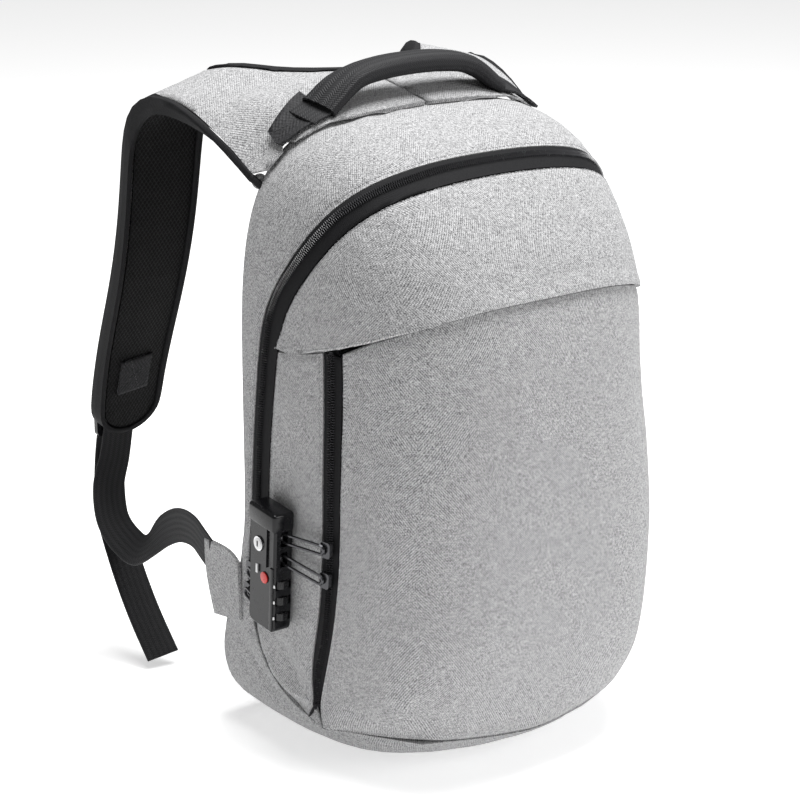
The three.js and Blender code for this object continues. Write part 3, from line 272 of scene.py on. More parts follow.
def clothPlaceGroup():
    # A flat place on the cloth in metres, from the side that the surface faces most
    group, _, out = newGroup("clothPlace", [], [("Place", "Vector")])
    coords = addNode(group, "ShaderNodeTexCoord")
    place = addNode(group, "ShaderNodeSeparateXYZ", {0: coords.outputs["Object"]})
    facing = addNode(group, "ShaderNodeNewGeometry")
    size = addNode(group, "ShaderNodeVectorMath", {0: facing.outputs["Normal"]}, operation="ABSOLUTE")
    side = addNode(group, "ShaderNodeSeparateXYZ", {0: size.outputs[0]})
    notSideways = calc(group, "MAXIMUM", side.outputs["Y"], side.outputs["Z"])
    sideways = calc(group, "GREATER_THAN", side.outputs["X"], notSideways)
    notUpward = calc(group, "MAXIMUM", side.outputs["X"], side.outputs["Y"])
    upward = calc(group, "GREATER_THAN", side.outputs["Z"], notUpward)
    across = calc(
        group, "ADD", place.outputs["X"],
        calc(group, "MULTIPLY", sideways, calc(group, "SUBTRACT", place.outputs["Y"], place.outputs["X"])),
    )
    along = calc(
        group, "ADD", place.outputs["Z"],
        calc(group, "MULTIPLY", upward, calc(group, "SUBTRACT", place.outputs["Y"], place.outputs["Z"])),
    )
    flat = addNode(group, "ShaderNodeCombineXYZ", {"X": across, "Y": along})
    group.links.new(flat.outputs[0], out.inputs["Place"])
    return group


def threadNoise(group, across, along, depth):
    place = addNode(group, "ShaderNodeCombineXYZ", {"X": across, "Y": along, "Z": depth})
    grain = {"Vector": place.outputs[0], "Scale": 1.0, "Detail": 1.5, "Roughness": 0.6}
    return addNode(group, "ShaderNodeTexNoise", grain).outputs["Fac"]


weaveLook = {
    "streak": 0.30,
    "slant": 0.5,
    "patchScale": 150.0,
    "patchShare": 0.16,
    "twillSteep": 0.7,
    "twillStir": 1.6,
    "layScale": 26.0,
    "layFrom": 0.44,
    "layTo": 0.58,
    "threadShare": 0.35,
}


def heatherGroup():
    # Melange yarn: streaks of light and dark threads that run across and along, over and under each other
    group, given, out = newGroup(
        "heatherWeave",
        [
            ("Place", "Vector", None),
            ("Thread", "Float", 0.0009),
            ("Dark", "Color", (0.2, 0.2, 0.2, 1)),
            ("Light", "Color", (0.5, 0.5, 0.5, 1)),
            ("Contrast", "Float", 2.4),
            ("Twill", "Float", 0.26),
        ],
        [("Color", "Color"), ("Height", "Float")],
    )
    parts = addNode(group, "ShaderNodeSeparateXYZ", {0: given.outputs["Place"]})
    across = calc(group, "DIVIDE", parts.outputs["X"], given.outputs["Thread"])
    along = calc(group, "DIVIDE", parts.outputs["Y"], given.outputs["Thread"])
    weft = threadNoise(group, calc(group, "MULTIPLY", across, weaveLook["streak"]), along, 0.0)
    warp = threadNoise(group, across, calc(group, "MULTIPLY", along, weaveLook["streak"]), 9.0)
    slant = calc(group, "ADD", across, calc(group, "MULTIPLY", along, weaveLook["slant"]))
    over = calc(group, "SINE", calc(group, "MULTIPLY", slant, math.pi))
    choose = calc(group, "MULTIPLY_ADD", over, 0.5, 0.5)
    under = calc(group, "SUBTRACT", 1.0, choose)
    yarn = calc(group, "ADD", calc(group, "MULTIPLY", weft, under), calc(group, "MULTIPLY", warp, choose))
    spread = {"Vector": given.outputs["Place"], "Scale": weaveLook["patchScale"], "Detail": 4.0}
    patch = addNode(group, "ShaderNodeTexNoise", spread)
    uneven = calc(group, "SUBTRACT", patch.outputs["Fac"], 0.5)
    mixed = calc(group, "ADD", yarn, calc(group, "MULTIPLY", uneven, weaveLook["patchShare"]))
    centred = calc(group, "SUBTRACT", mixed, 0.5)
    steep = calc(group, "MULTIPLY", along, weaveLook["twillSteep"])
    stir = calc(group, "MULTIPLY", yarn, weaveLook["twillStir"])
    falling = calc(group, "ADD", calc(group, "ADD", across, steep), stir)
    rising = calc(group, "ADD", calc(group, "SUBTRACT", across, steep), stir)
    areas = {"Vector": given.outputs["Place"], "Scale": weaveLook["layScale"], "Detail": 1.0}
    lay = addNode(group, "ShaderNodeTexNoise", areas)
    limits = {"Value": lay.outputs["Fac"], "From Min": weaveLook["layFrom"], "From Max": weaveLook["layTo"]}
    turn = addNode(group, "ShaderNodeMapRange", limits)
    fallingLine = calc(group, "SINE", calc(group, "MULTIPLY", falling, math.pi))
    risingLine = calc(group, "SINE", calc(group, "MULTIPLY", rising, math.pi))
    gap = calc(group, "SUBTRACT", risingLine, fallingLine)
    twill = calc(group, "MULTIPLY_ADD", gap, turn.outputs["Result"], fallingLine)
    base = calc(group, "MULTIPLY_ADD", centred, given.outputs["Contrast"], 0.5)
    tone = calc(group, "MULTIPLY_ADD", twill, given.outputs["Twill"], base)
    held = addNode(group, "ShaderNodeClamp", {"Value": tone})
    colour = mixColour(group, held.outputs[0], given.outputs["Dark"], given.outputs["Light"])
    threads = calc(
        group, "MULTIPLY",
        calc(group, "SINE", calc(group, "MULTIPLY", across, math.pi)),
        calc(group, "SINE", calc(group, "MULTIPLY", along, math.pi)),
    )
    height = calc(group, "ADD", calc(group, "MULTIPLY", threads, weaveLook["threadShare"]), yarn)
    group.links.new(colour, out.inputs["Color"])
    group.links.new(height, out.inputs["Height"])
    return group


ribLook = {
    "zigzag": 2.2,
    "waveShare": 0.7,
    "ribShare": 0.5,
    "ribShadeShare": 0.6,
    "fuzzShare": 0.4,
    "fuzzScale": 900.0,
}


def webbingGroup():
    # Woven webbing: chevron rows along the strap, read from the strap's own UV map; the colour is painted
    # shade, lighter on the raised ribs and darker in the grooves between them, with a little random fuzz
    group, given, out = newGroup(
        "ribbedWebbing",
        [
            ("Length", "Float", 0.3),
            ("Width", "Float", 0.025),
            ("Row", "Float", 0.0042),
            ("Pick", "Float", 0.0017),
            ("Dark", "Color", (0.02, 0.02, 0.02, 1)),
            ("Light", "Color", (0.06, 0.06, 0.06, 1)),
        ],
        [("Color", "Color"), ("Height", "Float")],
    )
    uvMap = addNode(group, "ShaderNodeUVMap")
    parts = addNode(group, "ShaderNodeSeparateXYZ", {0: uvMap.outputs["UV"]})
    along = calc(group, "MULTIPLY", parts.outputs["X"], given.outputs["Length"])
    across = calc(group, "MULTIPLY", parts.outputs["Y"], given.outputs["Width"])
    row = calc(group, "DIVIDE", across, given.outputs["Row"])
    slope = calc(group, "PINGPONG", row, 0.5)
    straight = calc(group, "DIVIDE", along, given.outputs["Pick"])
    pick = calc(group, "ADD", straight, calc(group, "MULTIPLY", slope, ribLook["zigzag"]))
    wave = calc(group, "SINE", calc(group, "MULTIPLY", pick, 2 * math.pi))
    wave = calc(group, "MULTIPLY_ADD", wave, 0.5, 0.5)
    rib = calc(group, "COSINE", calc(group, "MULTIPLY", row, 2 * math.pi))
    rib = calc(group, "MULTIPLY_ADD", rib, 0.5, 0.5)
    waves = calc(group, "MULTIPLY", wave, ribLook["waveShare"])
    height = calc(group, "ADD", waves, calc(group, "MULTIPLY", rib, ribLook["ribShare"]))
    place = addNode(group, "ShaderNodeCombineXYZ", {"X": along, "Y": across})
    grain = {"Vector": place.outputs[0], "Scale": ribLook["fuzzScale"], "Detail": 2.0}
    fuzz = addNode(group, "ShaderNodeTexNoise", grain)
    fuzzy = calc(group, "MULTIPLY", fuzz.outputs["Fac"], ribLook["fuzzShare"])
    # painted shade: the higher the rib, the lighter its colour
    lit = calc(group, "ADD", calc(group, "MULTIPLY", height, ribLook["ribShadeShare"]), fuzzy)
    share = calc(group, "MULTIPLY", lit, 0.9)
    colour = mixColour(group, share, given.outputs["Dark"], given.outputs["Light"])
    group.links.new(colour, out.inputs["Color"])
    group.links.new(height, out.inputs["Height"])
    return group


netLook = {
    "stretch": 1.5,
    "holeSize": 2.2,
    "holeBlend": 0.2,
    "fuzzScale": 700.0,
    "fuzzGain": 0.8,
    "fuzzBase": 0.6,
}


def airMeshGroup():
    # Spacer mesh: rows of small diamond holes between raised threads; the holes are coloured near-black as
    # painted shade inside them
    group, given, out = newGroup(
        "airMesh",
        [
            ("Place", "Vector", None),
            ("Cell", "Float", 0.0030),
            ("Dark", "Color", (0, 0, 0, 1)),
            ("Light", "Color", (0.05, 0.05, 0.05, 1)),
        ],
        [("Color", "Color"), ("Height", "Float")],
    )
    parts = addNode(group, "ShaderNodeSeparateXYZ", {0: given.outputs["Place"]})
    across = calc(group, "DIVIDE", parts.outputs["X"], given.outputs["Cell"])
    cellHeight = calc(group, "MULTIPLY", given.outputs["Cell"], netLook["stretch"])
    along = calc(group, "DIVIDE", parts.outputs["Y"], cellHeight)
    first = calc(group, "COSINE", calc(group, "MULTIPLY", calc(group, "ADD", across, along), math.pi))
    second = calc(group, "COSINE", calc(group, "MULTIPLY", calc(group, "SUBTRACT", across, along), math.pi))
    hole = calc(group, "ABSOLUTE", calc(group, "MULTIPLY", first, second))
    wide = calc(group, "MULTIPLY", hole, netLook["holeSize"])
    thread = calc(group, "SUBTRACT", 1.0, calc(group, "SMOOTH_MIN", wide, 1.0, netLook["holeBlend"]))
    grain = {"Vector": given.outputs["Place"], "Scale": netLook["fuzzScale"], "Detail": 2.0}
    fuzz = addNode(group, "ShaderNodeTexNoise", grain)
    fuzzy = calc(group, "MULTIPLY_ADD", fuzz.outputs["Fac"], netLook["fuzzGain"], netLook["fuzzBase"])
    share = calc(group, "MULTIPLY", thread, fuzzy)
    held = addNode(group, "ShaderNodeClamp", {"Value": share})
    # painted shade: the holes take the dark colour, the threads the light one
    colour = mixColour(group, held.outputs[0], given.outputs["Dark"], given.outputs["Light"])
    group.links.new(colour, out.inputs["Color"])
    group.links.new(thread, out.inputs["Height"])
    return group


skinLook = {
    "sparkScale": 2600.0,
    "scuffScale": 160.0,
    "spotPower": 4.0,
    "scuffGain": 0.5,
    "dustTone": (0.35, 0.35, 0.35, 1),
}


def mouldedGroup():
    # Moulded plastic: fine spark texture, faint scuffs and a little dust
    group, given, out = newGroup(
        "mouldedSkin",
        [
            ("Color", "Color", (0.02, 0.02, 0.02, 1)),
            ("Dust", "Float", 0.25),
            ("Roughness", "Float", 0.38),
        ],
        [("Color", "Color"), ("Roughness", "Float"), ("Height", "Float")],
    )
    coords = addNode(group, "ShaderNodeTexCoord")
    place = coords.outputs["Object"]
    fine = {"Vector": place, "Scale": skinLook["sparkScale"], "Detail": 2.0}
    spark = addNode(group, "ShaderNodeTexNoise", fine)
    broad = {"Vector": place, "Scale": skinLook["scuffScale"], "Detail": 5.0, "Roughness": 0.65}
    scuff = addNode(group, "ShaderNodeTexNoise", broad)
    specks = calc(group, "POWER", scuff.outputs["Fac"], skinLook["spotPower"])
    dust = calc(group, "MULTIPLY", specks, given.outputs["Dust"])
    dusty = mixColour(group, dust, given.outputs["Color"], skinLook["dustTone"])
    centred = calc(group, "SUBTRACT", scuff.outputs["Fac"], 0.5)
    worn = calc(group, "MULTIPLY", centred, skinLook["scuffGain"])
    rough = calc(group, "ADD", given.outputs["Roughness"], worn)
    group.links.new(dusty, out.inputs["Color"])
    group.links.new(rough, out.inputs["Roughness"])
    group.links.new(spark.outputs["Fac"], out.inputs["Height"])
    return group


# The finishes

clothLooks = {
    "greyCloth": {
        "name": "heatherGreyPolyester", "dark": "greyDark", "light": "greyLight", "thread": 0.00075,
        "contrast": 2.5, "bump": 0.0005, "roughness": 0.92, "sheen": 0.08, "specular": 0.3,
    },
    "zipTape": {
        "name": "zipTapeBlack", "dark": "blackCloth", "light": "blackClothLight", "thread": 0.0006,
        "contrast": 1.6, "bump": 0.0002, "roughness": 0.8, "sheen": 0.0, "specular": 0.2,
    },
    "binding": {
        "name": "edgeBindingBlack", "dark": "blackCloth", "light": "blackClothLight", "thread": 0.0008,
        "contrast": 1.8, "bump": 0.0003, "roughness": 0.8, "sheen": 0.0, "specular": 0.25,
    },
    "patch": {
        "name": "patchWebbingBlack", "dark": "webbingDark", "light": "webbingLight", "thread": 0.0014,
        "contrast": 2.2, "bump": 0.0005, "roughness": 0.7, "sheen": 0.0, "specular": 0.25,
    },
}


def heatherMaterial(groups, look):
    material = newMaterial(
        look["name"], roughness=look["roughness"], sheen=look["sheen"], specular=look["specular"]
    )
    place = placeGroup(material, groups["place"])
    values = {
        "Place": place.outputs["Place"],
        "Thread": look["thread"],
        "Dark": finishes[look["dark"]],
        "Light": finishes[look["light"]],
        "Contrast": look["contrast"],
    }
    weave = placeGroup(material, groups["heather"], values)
    feed(material, "Base Color", weave.outputs["Color"])
    raiseSurface(material, weave.outputs["Height"], 0.6, look["bump"])
    return material


def webbingMaterial(groups, name, length, width, row):
    material = newMaterial(name, roughness=0.62, specular=0.25)
    values = {
        "Length": length,
        "Width": width,
        "Row": row,
        "Dark": finishes["webbingDark"],
        "Light": finishes["webbingLight"],
    }
    rib = placeGroup(material, groups["webbing"], values)
    feed(material, "Base Color", rib.outputs["Color"])
    raiseSurface(material, rib.outputs["Height"], 0.7, 0.0005)
    return material


def meshMaterial(groups):
    material = newMaterial("airMeshBlack", roughness=0.7, specular=0.2)
    place = placeGroup(material, groups["place"])
    net = placeGroup(
        material, groups["airMesh"],
        {"Place": place.outputs["Place"], "Dark": finishes["meshHoleShade"], "Light": finishes["meshThread"]},
    )
    feed(material, "Base Color", net.outputs["Color"])
    raiseSurface(material, net.outputs["Height"], 0.9, 0.0011)
    return material


hardLooks = {
    "coil": {"name": "zipCoilNylon", "tone": "coil", "roughness": 0.22, "dust": 0.1},
    "plastic": {
        "name": "mouldedBlack", "tone": "plastic", "roughness": 0.22, "dust": 0.03, "specular": 0.28,
    },
    "wire": {"name": "blackNickelWire", "tone": "wire", "roughness": 0.16, "dust": 0.04, "metallic": 0.8},
    "dial": {"name": "dialBlack", "tone": "dial", "roughness": 0.25, "dust": 0.05, "specular": 0.3},
    "steel": {"name": "polishedSteel", "tone": "steel", "roughness": 0.25, "dust": 0.05, "metallic": 1.0},
    "red": {"name": "signalRed", "tone": "red", "roughness": 0.35, "dust": 0.05},
    "white": {"name": "markWhite", "tone": "white", "roughness": 0.5, "dust": 0.05},
    "greyStitch": {"name": "greyThread", "tone": "greyStitch", "roughness": 0.7, "dust": 0.05},
    "blackStitch": {"name": "blackThread", "tone": "blackStitch", "roughness": 0.6, "dust": 0.05},
}


def plasticMaterial(groups, look):
    material = newMaterial(
        look["name"], roughness=look["roughness"],
        metallic=look.get("metallic", 0.0), specular=look.get("specular", 0.5),
    )
    values = {"Color": finishes[look["tone"]], "Roughness": look["roughness"], "Dust": look["dust"]}
    skin = placeGroup(material, groups["moulded"], values)
    feed(material, "Base Color", skin.outputs["Color"])
    feed(material, "Roughness", skin.outputs["Roughness"])
    raiseSurface(material, skin.outputs["Height"], 0.18, 0.00006)
    return material


def makeMaterials():
    groups = {
        "place": clothPlaceGroup(),
        "heather": heatherGroup(),
        "webbing": webbingGroup(),
        "airMesh": airMeshGroup(),
        "moulded": mouldedGroup(),
    }
    made = {name: heatherMaterial(groups, look) for name, look in clothLooks.items()}
    made["airMesh"] = meshMaterial(groups)
    for name, look in hardLooks.items():
        made[name] = plasticMaterial(groups, look)
    made["groups"] = groups
    return made


# Mesh helpers

def activate(piece):
    bpy.ops.object.select_all(action="DESELECT")
    piece.select_set(True)
    bpy.context.view_layer.objects.active = piece


def weldedCopy(node, name):
    # A copy of a CAD node with its loose triangles welded and paired into quads
    piece = cadNodes[node].copy()
    piece.data = cadNodes[node].data.copy()
    piece.name = name
    piece.data.name = name
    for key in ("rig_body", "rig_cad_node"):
        del piece[key]
    piece.parent = None
    bpy.context.scene.collection.objects.link(piece)
    activate(piece)
    piece.data.materials.clear()
    bpy.ops.object.mode_set(mode="EDIT")
    bpy.ops.mesh.select_all(action="SELECT")
    bpy.ops.mesh.remove_doubles(threshold=0.00001)
    bpy.ops.mesh.tris_convert_to_quads(face_threshold=math.radians(50), shape_threshold=math.radians(60))
    bpy.ops.object.mode_set(mode="OBJECT")
    return piece


def applyModifier(piece, kind, **settings):
    activate(piece)
    made = piece.modifiers.new(kind.lower(), kind)
    for key, value in settings.items():
        setattr(made, key, value)
    bpy.ops.object.modifier_apply(modifier=made.name)


def creaseEdges(piece, degrees):
    work = bmesh.new()
    work.from_mesh(piece.data)
    layer = work.edges.layers.float.get("crease_edge") or work.edges.layers.float.new("crease_edge")
    for edge in work.edges:
        if len(edge.link_faces) == 2 and edge.calc_face_angle(0.0) > math.radians(degrees):
            edge[layer] = 1.0
    work.to_mesh(piece.data)
    work.free()


def subdivide(piece, levels):
    applyModifier(piece, "SUBSURF", levels=levels, render_levels=levels)


def smoothShade(piece, degrees=40):
    activate(piece)
    bpy.ops.object.shade_smooth_by_angle(angle=math.radians(degrees))


def pointsOf(piece):
    count = len(piece.data.vertices)
    values = np.zeros(count * 3)
    piece.data.vertices.foreach_get("co", values)
    return values.reshape(-1, 3)


def normalsOf(piece):
    count = len(piece.data.vertices)
    values = np.zeros(count * 3)
    piece.data.vertices.foreach_get("normal", values)
    return values.reshape(-1, 3)


def setPoints(piece, points):
    piece.data.vertices.foreach_set("co", points.ravel())
    piece.data.update()


def rimTree(piece, degrees=42):
    work = bmesh.new()
    work.from_mesh(piece.data)
    rim = set()
    for edge in work.edges:
        if len(edge.link_faces) == 2 and edge.calc_face_angle(0.0) > math.radians(degrees):
            rim.update((edge.verts[0].index, edge.verts[1].index))
    work.verts.ensure_lookup_table()
    places = [work.verts[i].co.copy() for i in sorted(rim)]
    work.free()
    tree = kdtree.KDTree(len(places))
    for i, place in enumerate(places):
        tree.insert(place, i)
    tree.balance()
    return tree


def nearestRim(piece, degrees=42):
    tree = rimTree(piece, degrees)
    points = pointsOf(piece)
    found = [tree.find(point) for point in points]
    return np.array([row[0] for row in found]), np.array([row[2] for row in found])


def noiseAt(points, size, seed):
    shift = Vector((seed * 3.7, seed * 1.9, seed * 5.3))
    return np.array([noise.noise(Vector(point) / size + shift) for point in points])


def facingOut(piece):
    away = pointsOf(piece) - np.array(bagMiddle)
    away /= np.linalg.norm(away, axis=1)[:, None]
    return np.clip((normalsOf(piece) * away).sum(1) * 4.0, 0.0, 1.0)


def seamShape(piece, look, outside=None):
    # The cloth dips into its seams, puckers beside them and swells a little between them
    rim, distance = nearestRim(piece)
    points = pointsOf(piece)
    normals = normalsOf(piece)
    near = np.exp(-((distance / look["dipWidth"]) ** 2))
    reach = np.exp(-distance / look["puckerReach"])
    pucker = noiseAt(rim, look["puckerSize"], look["seed"]) * reach * (1 - np.exp(-distance / 0.004))
    swell = noiseAt(points, look["waveSize"], look["seed"] + 2)
    swell += 0.5 * noiseAt(points, look["waveSize"] * 0.4, look["seed"] + 4)
    free = 1 - np.exp(-distance / 0.02)
    move = -look["dip"] * near + look["pucker"] * pucker
    move += look["wave"] * swell * free + look["crown"] * free
    sewn = 1 - np.exp(-distance / 0.004)
    for fold in look.get("folds", []):
        start, end = np.array(fold["start"]), np.array(fold["end"])
        run = end - start
        share = np.clip((points - start) @ run / (run @ run), 0, 1)
        away = np.linalg.norm(points - start - share[:, None] * run, axis=1)
        taper = np.sin(np.pi * (0.12 + 0.76 * share))
        valley = np.exp(-((away / fold["width"]) ** 2))
        ridge = np.exp(-(((away - 1.9 * fold["width"]) / fold["width"]) ** 2))
        move -= fold["depth"] * taper * (valley - 0.45 * ridge) * sewn
    if outside is None:
        outside = np.ones(len(points))
    setPoints(piece, points + normals * (move * outside)[:, None])


def swellCloth(piece, look):
    # Blender's cloth with air pressed in; the rims are held, and no point moves past the cap
    _, distance = nearestRim(piece)
    activate(piece)
    held = piece.vertex_groups.new(name="held")
    for i, away in enumerate(distance):
        held.add([i], float(np.clip(1 - (away - 0.002) / look["holdWidth"], 0, 1)), "REPLACE")
    rest = pointsOf(piece)
    cloth = piece.modifiers.new("cloth", "CLOTH")
    cloth.settings.use_pressure = True
    cloth.settings.uniform_pressure_force = look["pressure"]
    cloth.settings.effector_weights.gravity = 0.0
    cloth.settings.tension_stiffness = look["stiffness"]
    cloth.settings.compression_stiffness = look["stiffness"]
    cloth.settings.bending_stiffness = look["bending"]
    cloth.settings.vertex_group_mass = "held"
    cloth.settings.quality = 5
    cloth.collision_settings.use_collision = False
    for step in range(1, look["frames"] + 1):
        bpy.context.scene.frame_set(step)
    bpy.ops.object.modifier_apply(modifier="cloth")
    moved = pointsOf(piece) - rest
    length = np.linalg.norm(moved, axis=1)
    scale = np.minimum(1.0, look["cap"] / np.maximum(length, 1e-9))
    setPoints(piece, rest + moved * scale[:, None])
    piece.vertex_groups.clear()
    bpy.context.scene.frame_set(1)


def finish(piece, material, body, slot, *replaced):
    piece.data.materials.clear()
    piece.data.materials.append(material)
    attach(piece, body)
    if replaced:
        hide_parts(*replaced)
    return piece


def surfaceOf(*pieces):
    # One search tree over the outer faces of several pieces
    points, faces = [], []
    for piece in pieces:
        start = len(points)
        points.extend(vertex.co.copy() for vertex in piece.data.vertices)
        faces.extend([start + i for i in face.vertices] for face in piece.data.polygons)
    return BVHTree.FromPolygons(points, faces)


# Rings of a swept CAD piece, read from its own mesh

def ringsOf(node, near, outward):
    work = bmesh.new()
    work.from_mesh(cadNodes[node].data)
    bmesh.ops.remove_doubles(work, verts=work.verts, dist=0.00001)
    outward = Vector(outward).normalized()
    ends = [face for face in work.faces if face.normal.dot(outward) > 0.7]
    first = min(ends, key=lambda face: (face.calc_center_median() - Vector(near)).length)
    cap, waiting = {first}, [first]
    while waiting:
        face = waiting.pop()
        for edge in face.edges:
            for other in edge.link_faces:
                if other not in cap and other.normal.dot(first.normal) > 0.999:
                    cap.add(other)
                    waiting.append(other)
    ring = {vertex for face in cap for vertex in face.verts}
    seen, rings = set(ring), []
    while ring:
        rings.append(np.array([vertex.co[:] for vertex in sorted(ring, key=lambda v: v.index)]))
        following = {edge.other_vert(vertex) for vertex in ring for edge in vertex.link_edges} - seen
        seen |= following
        ring = following
    work.free()
    return rings


def ringFrames(rings):
    # Middle, direction, width axis and thin axis at each ring, with the half sizes
    middles = np.array([ring.mean(0) for ring in rings])
    forward = np.gradient(middles, axis=0)
    forward /= np.linalg.norm(forward, axis=1)[:, None]
    wide, thin, halfWide, halfThin = [], [], [], []
    for ring, middle, ahead in zip(rings, middles, forward):
        offsets = ring - middle
        offsets -= np.outer(offsets @ ahead, ahead)
        _, _, axes = np.linalg.svd(offsets)
        axis = axes[0]
        if wide and axis @ wide[-1] < 0:
            axis = -axis
        other = np.cross(ahead, axis)
        wide.append(axis)
        thin.append(other)
        halfWide.append(np.abs(offsets @ axis).max())
        halfThin.append(np.abs(offsets @ other).max())
    return middles, forward, np.array(wide), np.array(thin), np.array(halfWide), np.array(halfThin)


def resample(frames, step):
    # The same path with an even step, on a smooth curve through the rings
    middles, _, wide, thin, halfWide, halfThin = frames
    padded = np.vstack([2 * middles[0] - middles[1], middles, 2 * middles[-1] - middles[-2]])
    fine = []
    spans = 8
    for i in range(len(middles) - 1):
        a, b, c, d = padded[i : i + 4]
        for k in range(spans):
            t = k / spans
            square = (2 * a - 5 * b + 4 * c - d) * t * t
            cube = (3 * b - a - 3 * c + d) * t**3
            fine.append(0.5 * (2 * b + (c - a) * t + square + cube))
    fine.append(middles[-1])
    fine = np.array(fine)
    run = np.concatenate([[0], np.cumsum(np.linalg.norm(np.diff(fine, axis=0), axis=1))])
    count = max(2, int(round(run[-1] / step)) + 1)
    wanted = np.linspace(0, run[-1], count)
    at = np.interp(wanted, run, np.arange(len(fine)) / spans)
    place = np.column_stack([np.interp(wanted, run, fine[:, k]) for k in range(3)])
    forward = np.gradient(place, axis=0)
    forward /= np.linalg.norm(forward, axis=1)[:, None]
    index = np.arange(len(middles))
    axis = np.column_stack([np.interp(at, index, wide[:, k]) for k in range(3)])
    axis -= (axis * forward).sum(1)[:, None] * forward
    axis /= np.linalg.norm(axis, axis=1)[:, None]
    other = np.cross(forward, axis)
    return place, forward, axis, other, np.interp(at, index, halfWide), np.interp(at, index, halfThin)


def lengthened(frames, tuck):
    # The path carried straight on past its last ring, where an end is sewn into another piece
    if not tuck:
        return frames
    middles, forward, wide, thin, halfWide, halfThin = frames
    last = middles[-1] + forward[-1] * tuck
    return (
        np.vstack([middles, last]), np.vstack([forward, forward[-1]]), np.vstack([wide, wide[-1]]),
        np.vstack([thin, thin[-1]]), np.append(halfWide, halfWide[-1]), np.append(halfThin, halfThin[-1]),
    )


def strewUnits(name, unitPoints, unitFaces, place, along, across, up):
    # Copies of one small shape along a row, as one mesh
    count, size = len(place), len(unitPoints)
    points = (
        place[:, None, :]
        + unitPoints[None, :, 0:1] * along[:, None, :]
        + unitPoints[None, :, 1:2] * across[:, None, :]
        + unitPoints[None, :, 2:3] * up[:, None, :]
    ).reshape(-1, 3)
    faces = [[k * size + i for i in face] for k in range(count) for face in unitFaces]
    data = bpy.data.meshes.new(name)
    data.from_pydata(points.tolist(), [], faces)
    data.update()
    piece = bpy.data.objects.new(name, data)
    bpy.context.scene.collection.objects.link(piece)
    return piece


def unitFromPrimitive(build):
    # Models the small shape, then keeps its points and faces
    bpy.ops.object.select_all(action="DESELECT")
    build()
    piece = bpy.context.object
    bpy.ops.object.transform_apply(location=True, rotation=True, scale=True)
    points = pointsOf(piece)
    faces = [list(face.vertices) for face in piece.data.polygons]
    bpy.data.objects.remove(piece)
    return points, faces


stripLook = {"rounding": 0.0004, "across": 6, "edgeRoom": 0.0001}


def flatGrid(name, stations, across):
    # A flat grid with a row of points for each station, and the station that each point belongs to
    bpy.ops.object.select_all(action="DESELECT")
    bpy.ops.mesh.primitive_grid_add(
        x_subdivisions=stations - 1, y_subdivisions=across, size=1.0, calc_uvs=True
    )
    piece = bpy.context.object
    piece.name = name
    flat = pointsOf(piece)
    station = np.round((flat[:, 0] + 0.5) * (stations - 1)).astype(int)
    return piece, flat, np.clip(station, 0, stations - 1)


def stripPiece(name, frames, wall):
    # A flat strap: a grid laid along the path, given its wall and soft edges
    place, _, axis, _, halfWide, _ = frames
    piece, flat, station = flatGrid(name, len(place), stripLook["across"])
    reach = flat[:, 1] * 2 * (halfWide[station] - stripLook["edgeRoom"])
    setPoints(piece, place[station] + axis[station] * reach[:, None])
    applyModifier(piece, "SOLIDIFY", thickness=wall, offset=0.0)
    applyModifier(
        piece, "BEVEL", width=stripLook["rounding"], segments=2, limit_method="ANGLE",
        angle_limit=math.radians(60),
    )
    smoothShade(piece, 50)
    return piece


placeCamera()
materials = makeMaterials()
buildStudio()
print("stage: camera, floor and finishes")

# The bag's cloth panels

# Each fold runs from one place to another on the cloth, with a depth and a width


def fold(start, end, depth, width):
    return {"start": start, "end": end, "depth": depth, "width": width}


panelLooks = {
    "bag_shell": {
        "node": "main_shell", "levels": 2, "dip": 0.0011, "dipWidth": 0.0035,
        "pucker": 0.0016, "puckerSize": 0.012,
        "puckerReach": 0.022, "wave": 0.0009, "waveSize": 0.055, "crown": 0.0005, "seed": 1,
        "folds": [
            fold((-0.135, 0.010, 0.072), (-0.128, -0.035, 0.031), 0.0022, 0.006),
            fold((-0.134, 0.006, 0.055), (-0.130, -0.009, 0.034), 0.0016, 0.007),
            fold((-0.117, -0.003, 0.395), (-0.097, -0.016, 0.416), 0.0018, 0.006),
            fold((-0.097, -0.016, 0.416), (-0.034, -0.023, 0.433), 0.0016, 0.006),
            fold((-0.06, -0.05, 0.43), (-0.03, -0.02, 0.432), 0.0015, 0.006),
            fold((0.02, -0.075, 0.427), (0.05, -0.03, 0.43), 0.0012, 0.006),
            fold((-0.13, -0.03, 0.33), (-0.1, -0.05, 0.4), 0.0012, 0.009),
        ],
    },
    "upper_front": {
        "node": "front_yoke", "levels": 3, "dip": 0.0009, "dipWidth": 0.003,
        "pucker": 0.0012, "puckerSize": 0.014,
        "puckerReach": 0.018, "wave": 0.0008, "waveSize": 0.06, "crown": 0.0008, "seed": 5, "folds": [],
        "hem": {"height": 0.007, "lift": 0.0022},
    },
    "front_panel": {
        "node": "pocket_panel", "levels": 2, "dip": 0.0010, "dipWidth": 0.003,
        "pucker": 0.0012, "puckerSize": 0.013,
        "puckerReach": 0.02, "wave": 0.0010, "waveSize": 0.07, "crown": 0.0005, "seed": 9,
        "folds": [
            fold((-0.11, -0.13, 0.03), (-0.07, -0.15, 0.012), 0.0014, 0.006),
            fold((0.115, -0.14, 0.05), (0.125, -0.11, 0.11), 0.001, 0.008),
        ],
    },
    "side_panel": {
        "node": "side_strip", "levels": 3, "dip": 0.0010, "dipWidth": 0.003,
        "pucker": 0.0018, "puckerSize": 0.011,
        "puckerReach": 0.018, "wave": 0.0008, "waveSize": 0.04, "crown": 0.0006, "seed": 13,
        "folds": [
            fold((-0.1345, -0.004, 0.078), (-0.133, -0.014, 0.055), 0.0030, 0.006),
            fold((-0.133, -0.014, 0.055), (-0.131, -0.028, 0.042), 0.0042, 0.006),
            fold((-0.131, -0.028, 0.042), (-0.125, -0.067, 0.035), 0.0040, 0.005),
            fold((-0.134, -0.035, 0.085), (-0.127, -0.064, 0.046), 0.0024, 0.008),
        ],
    },
}
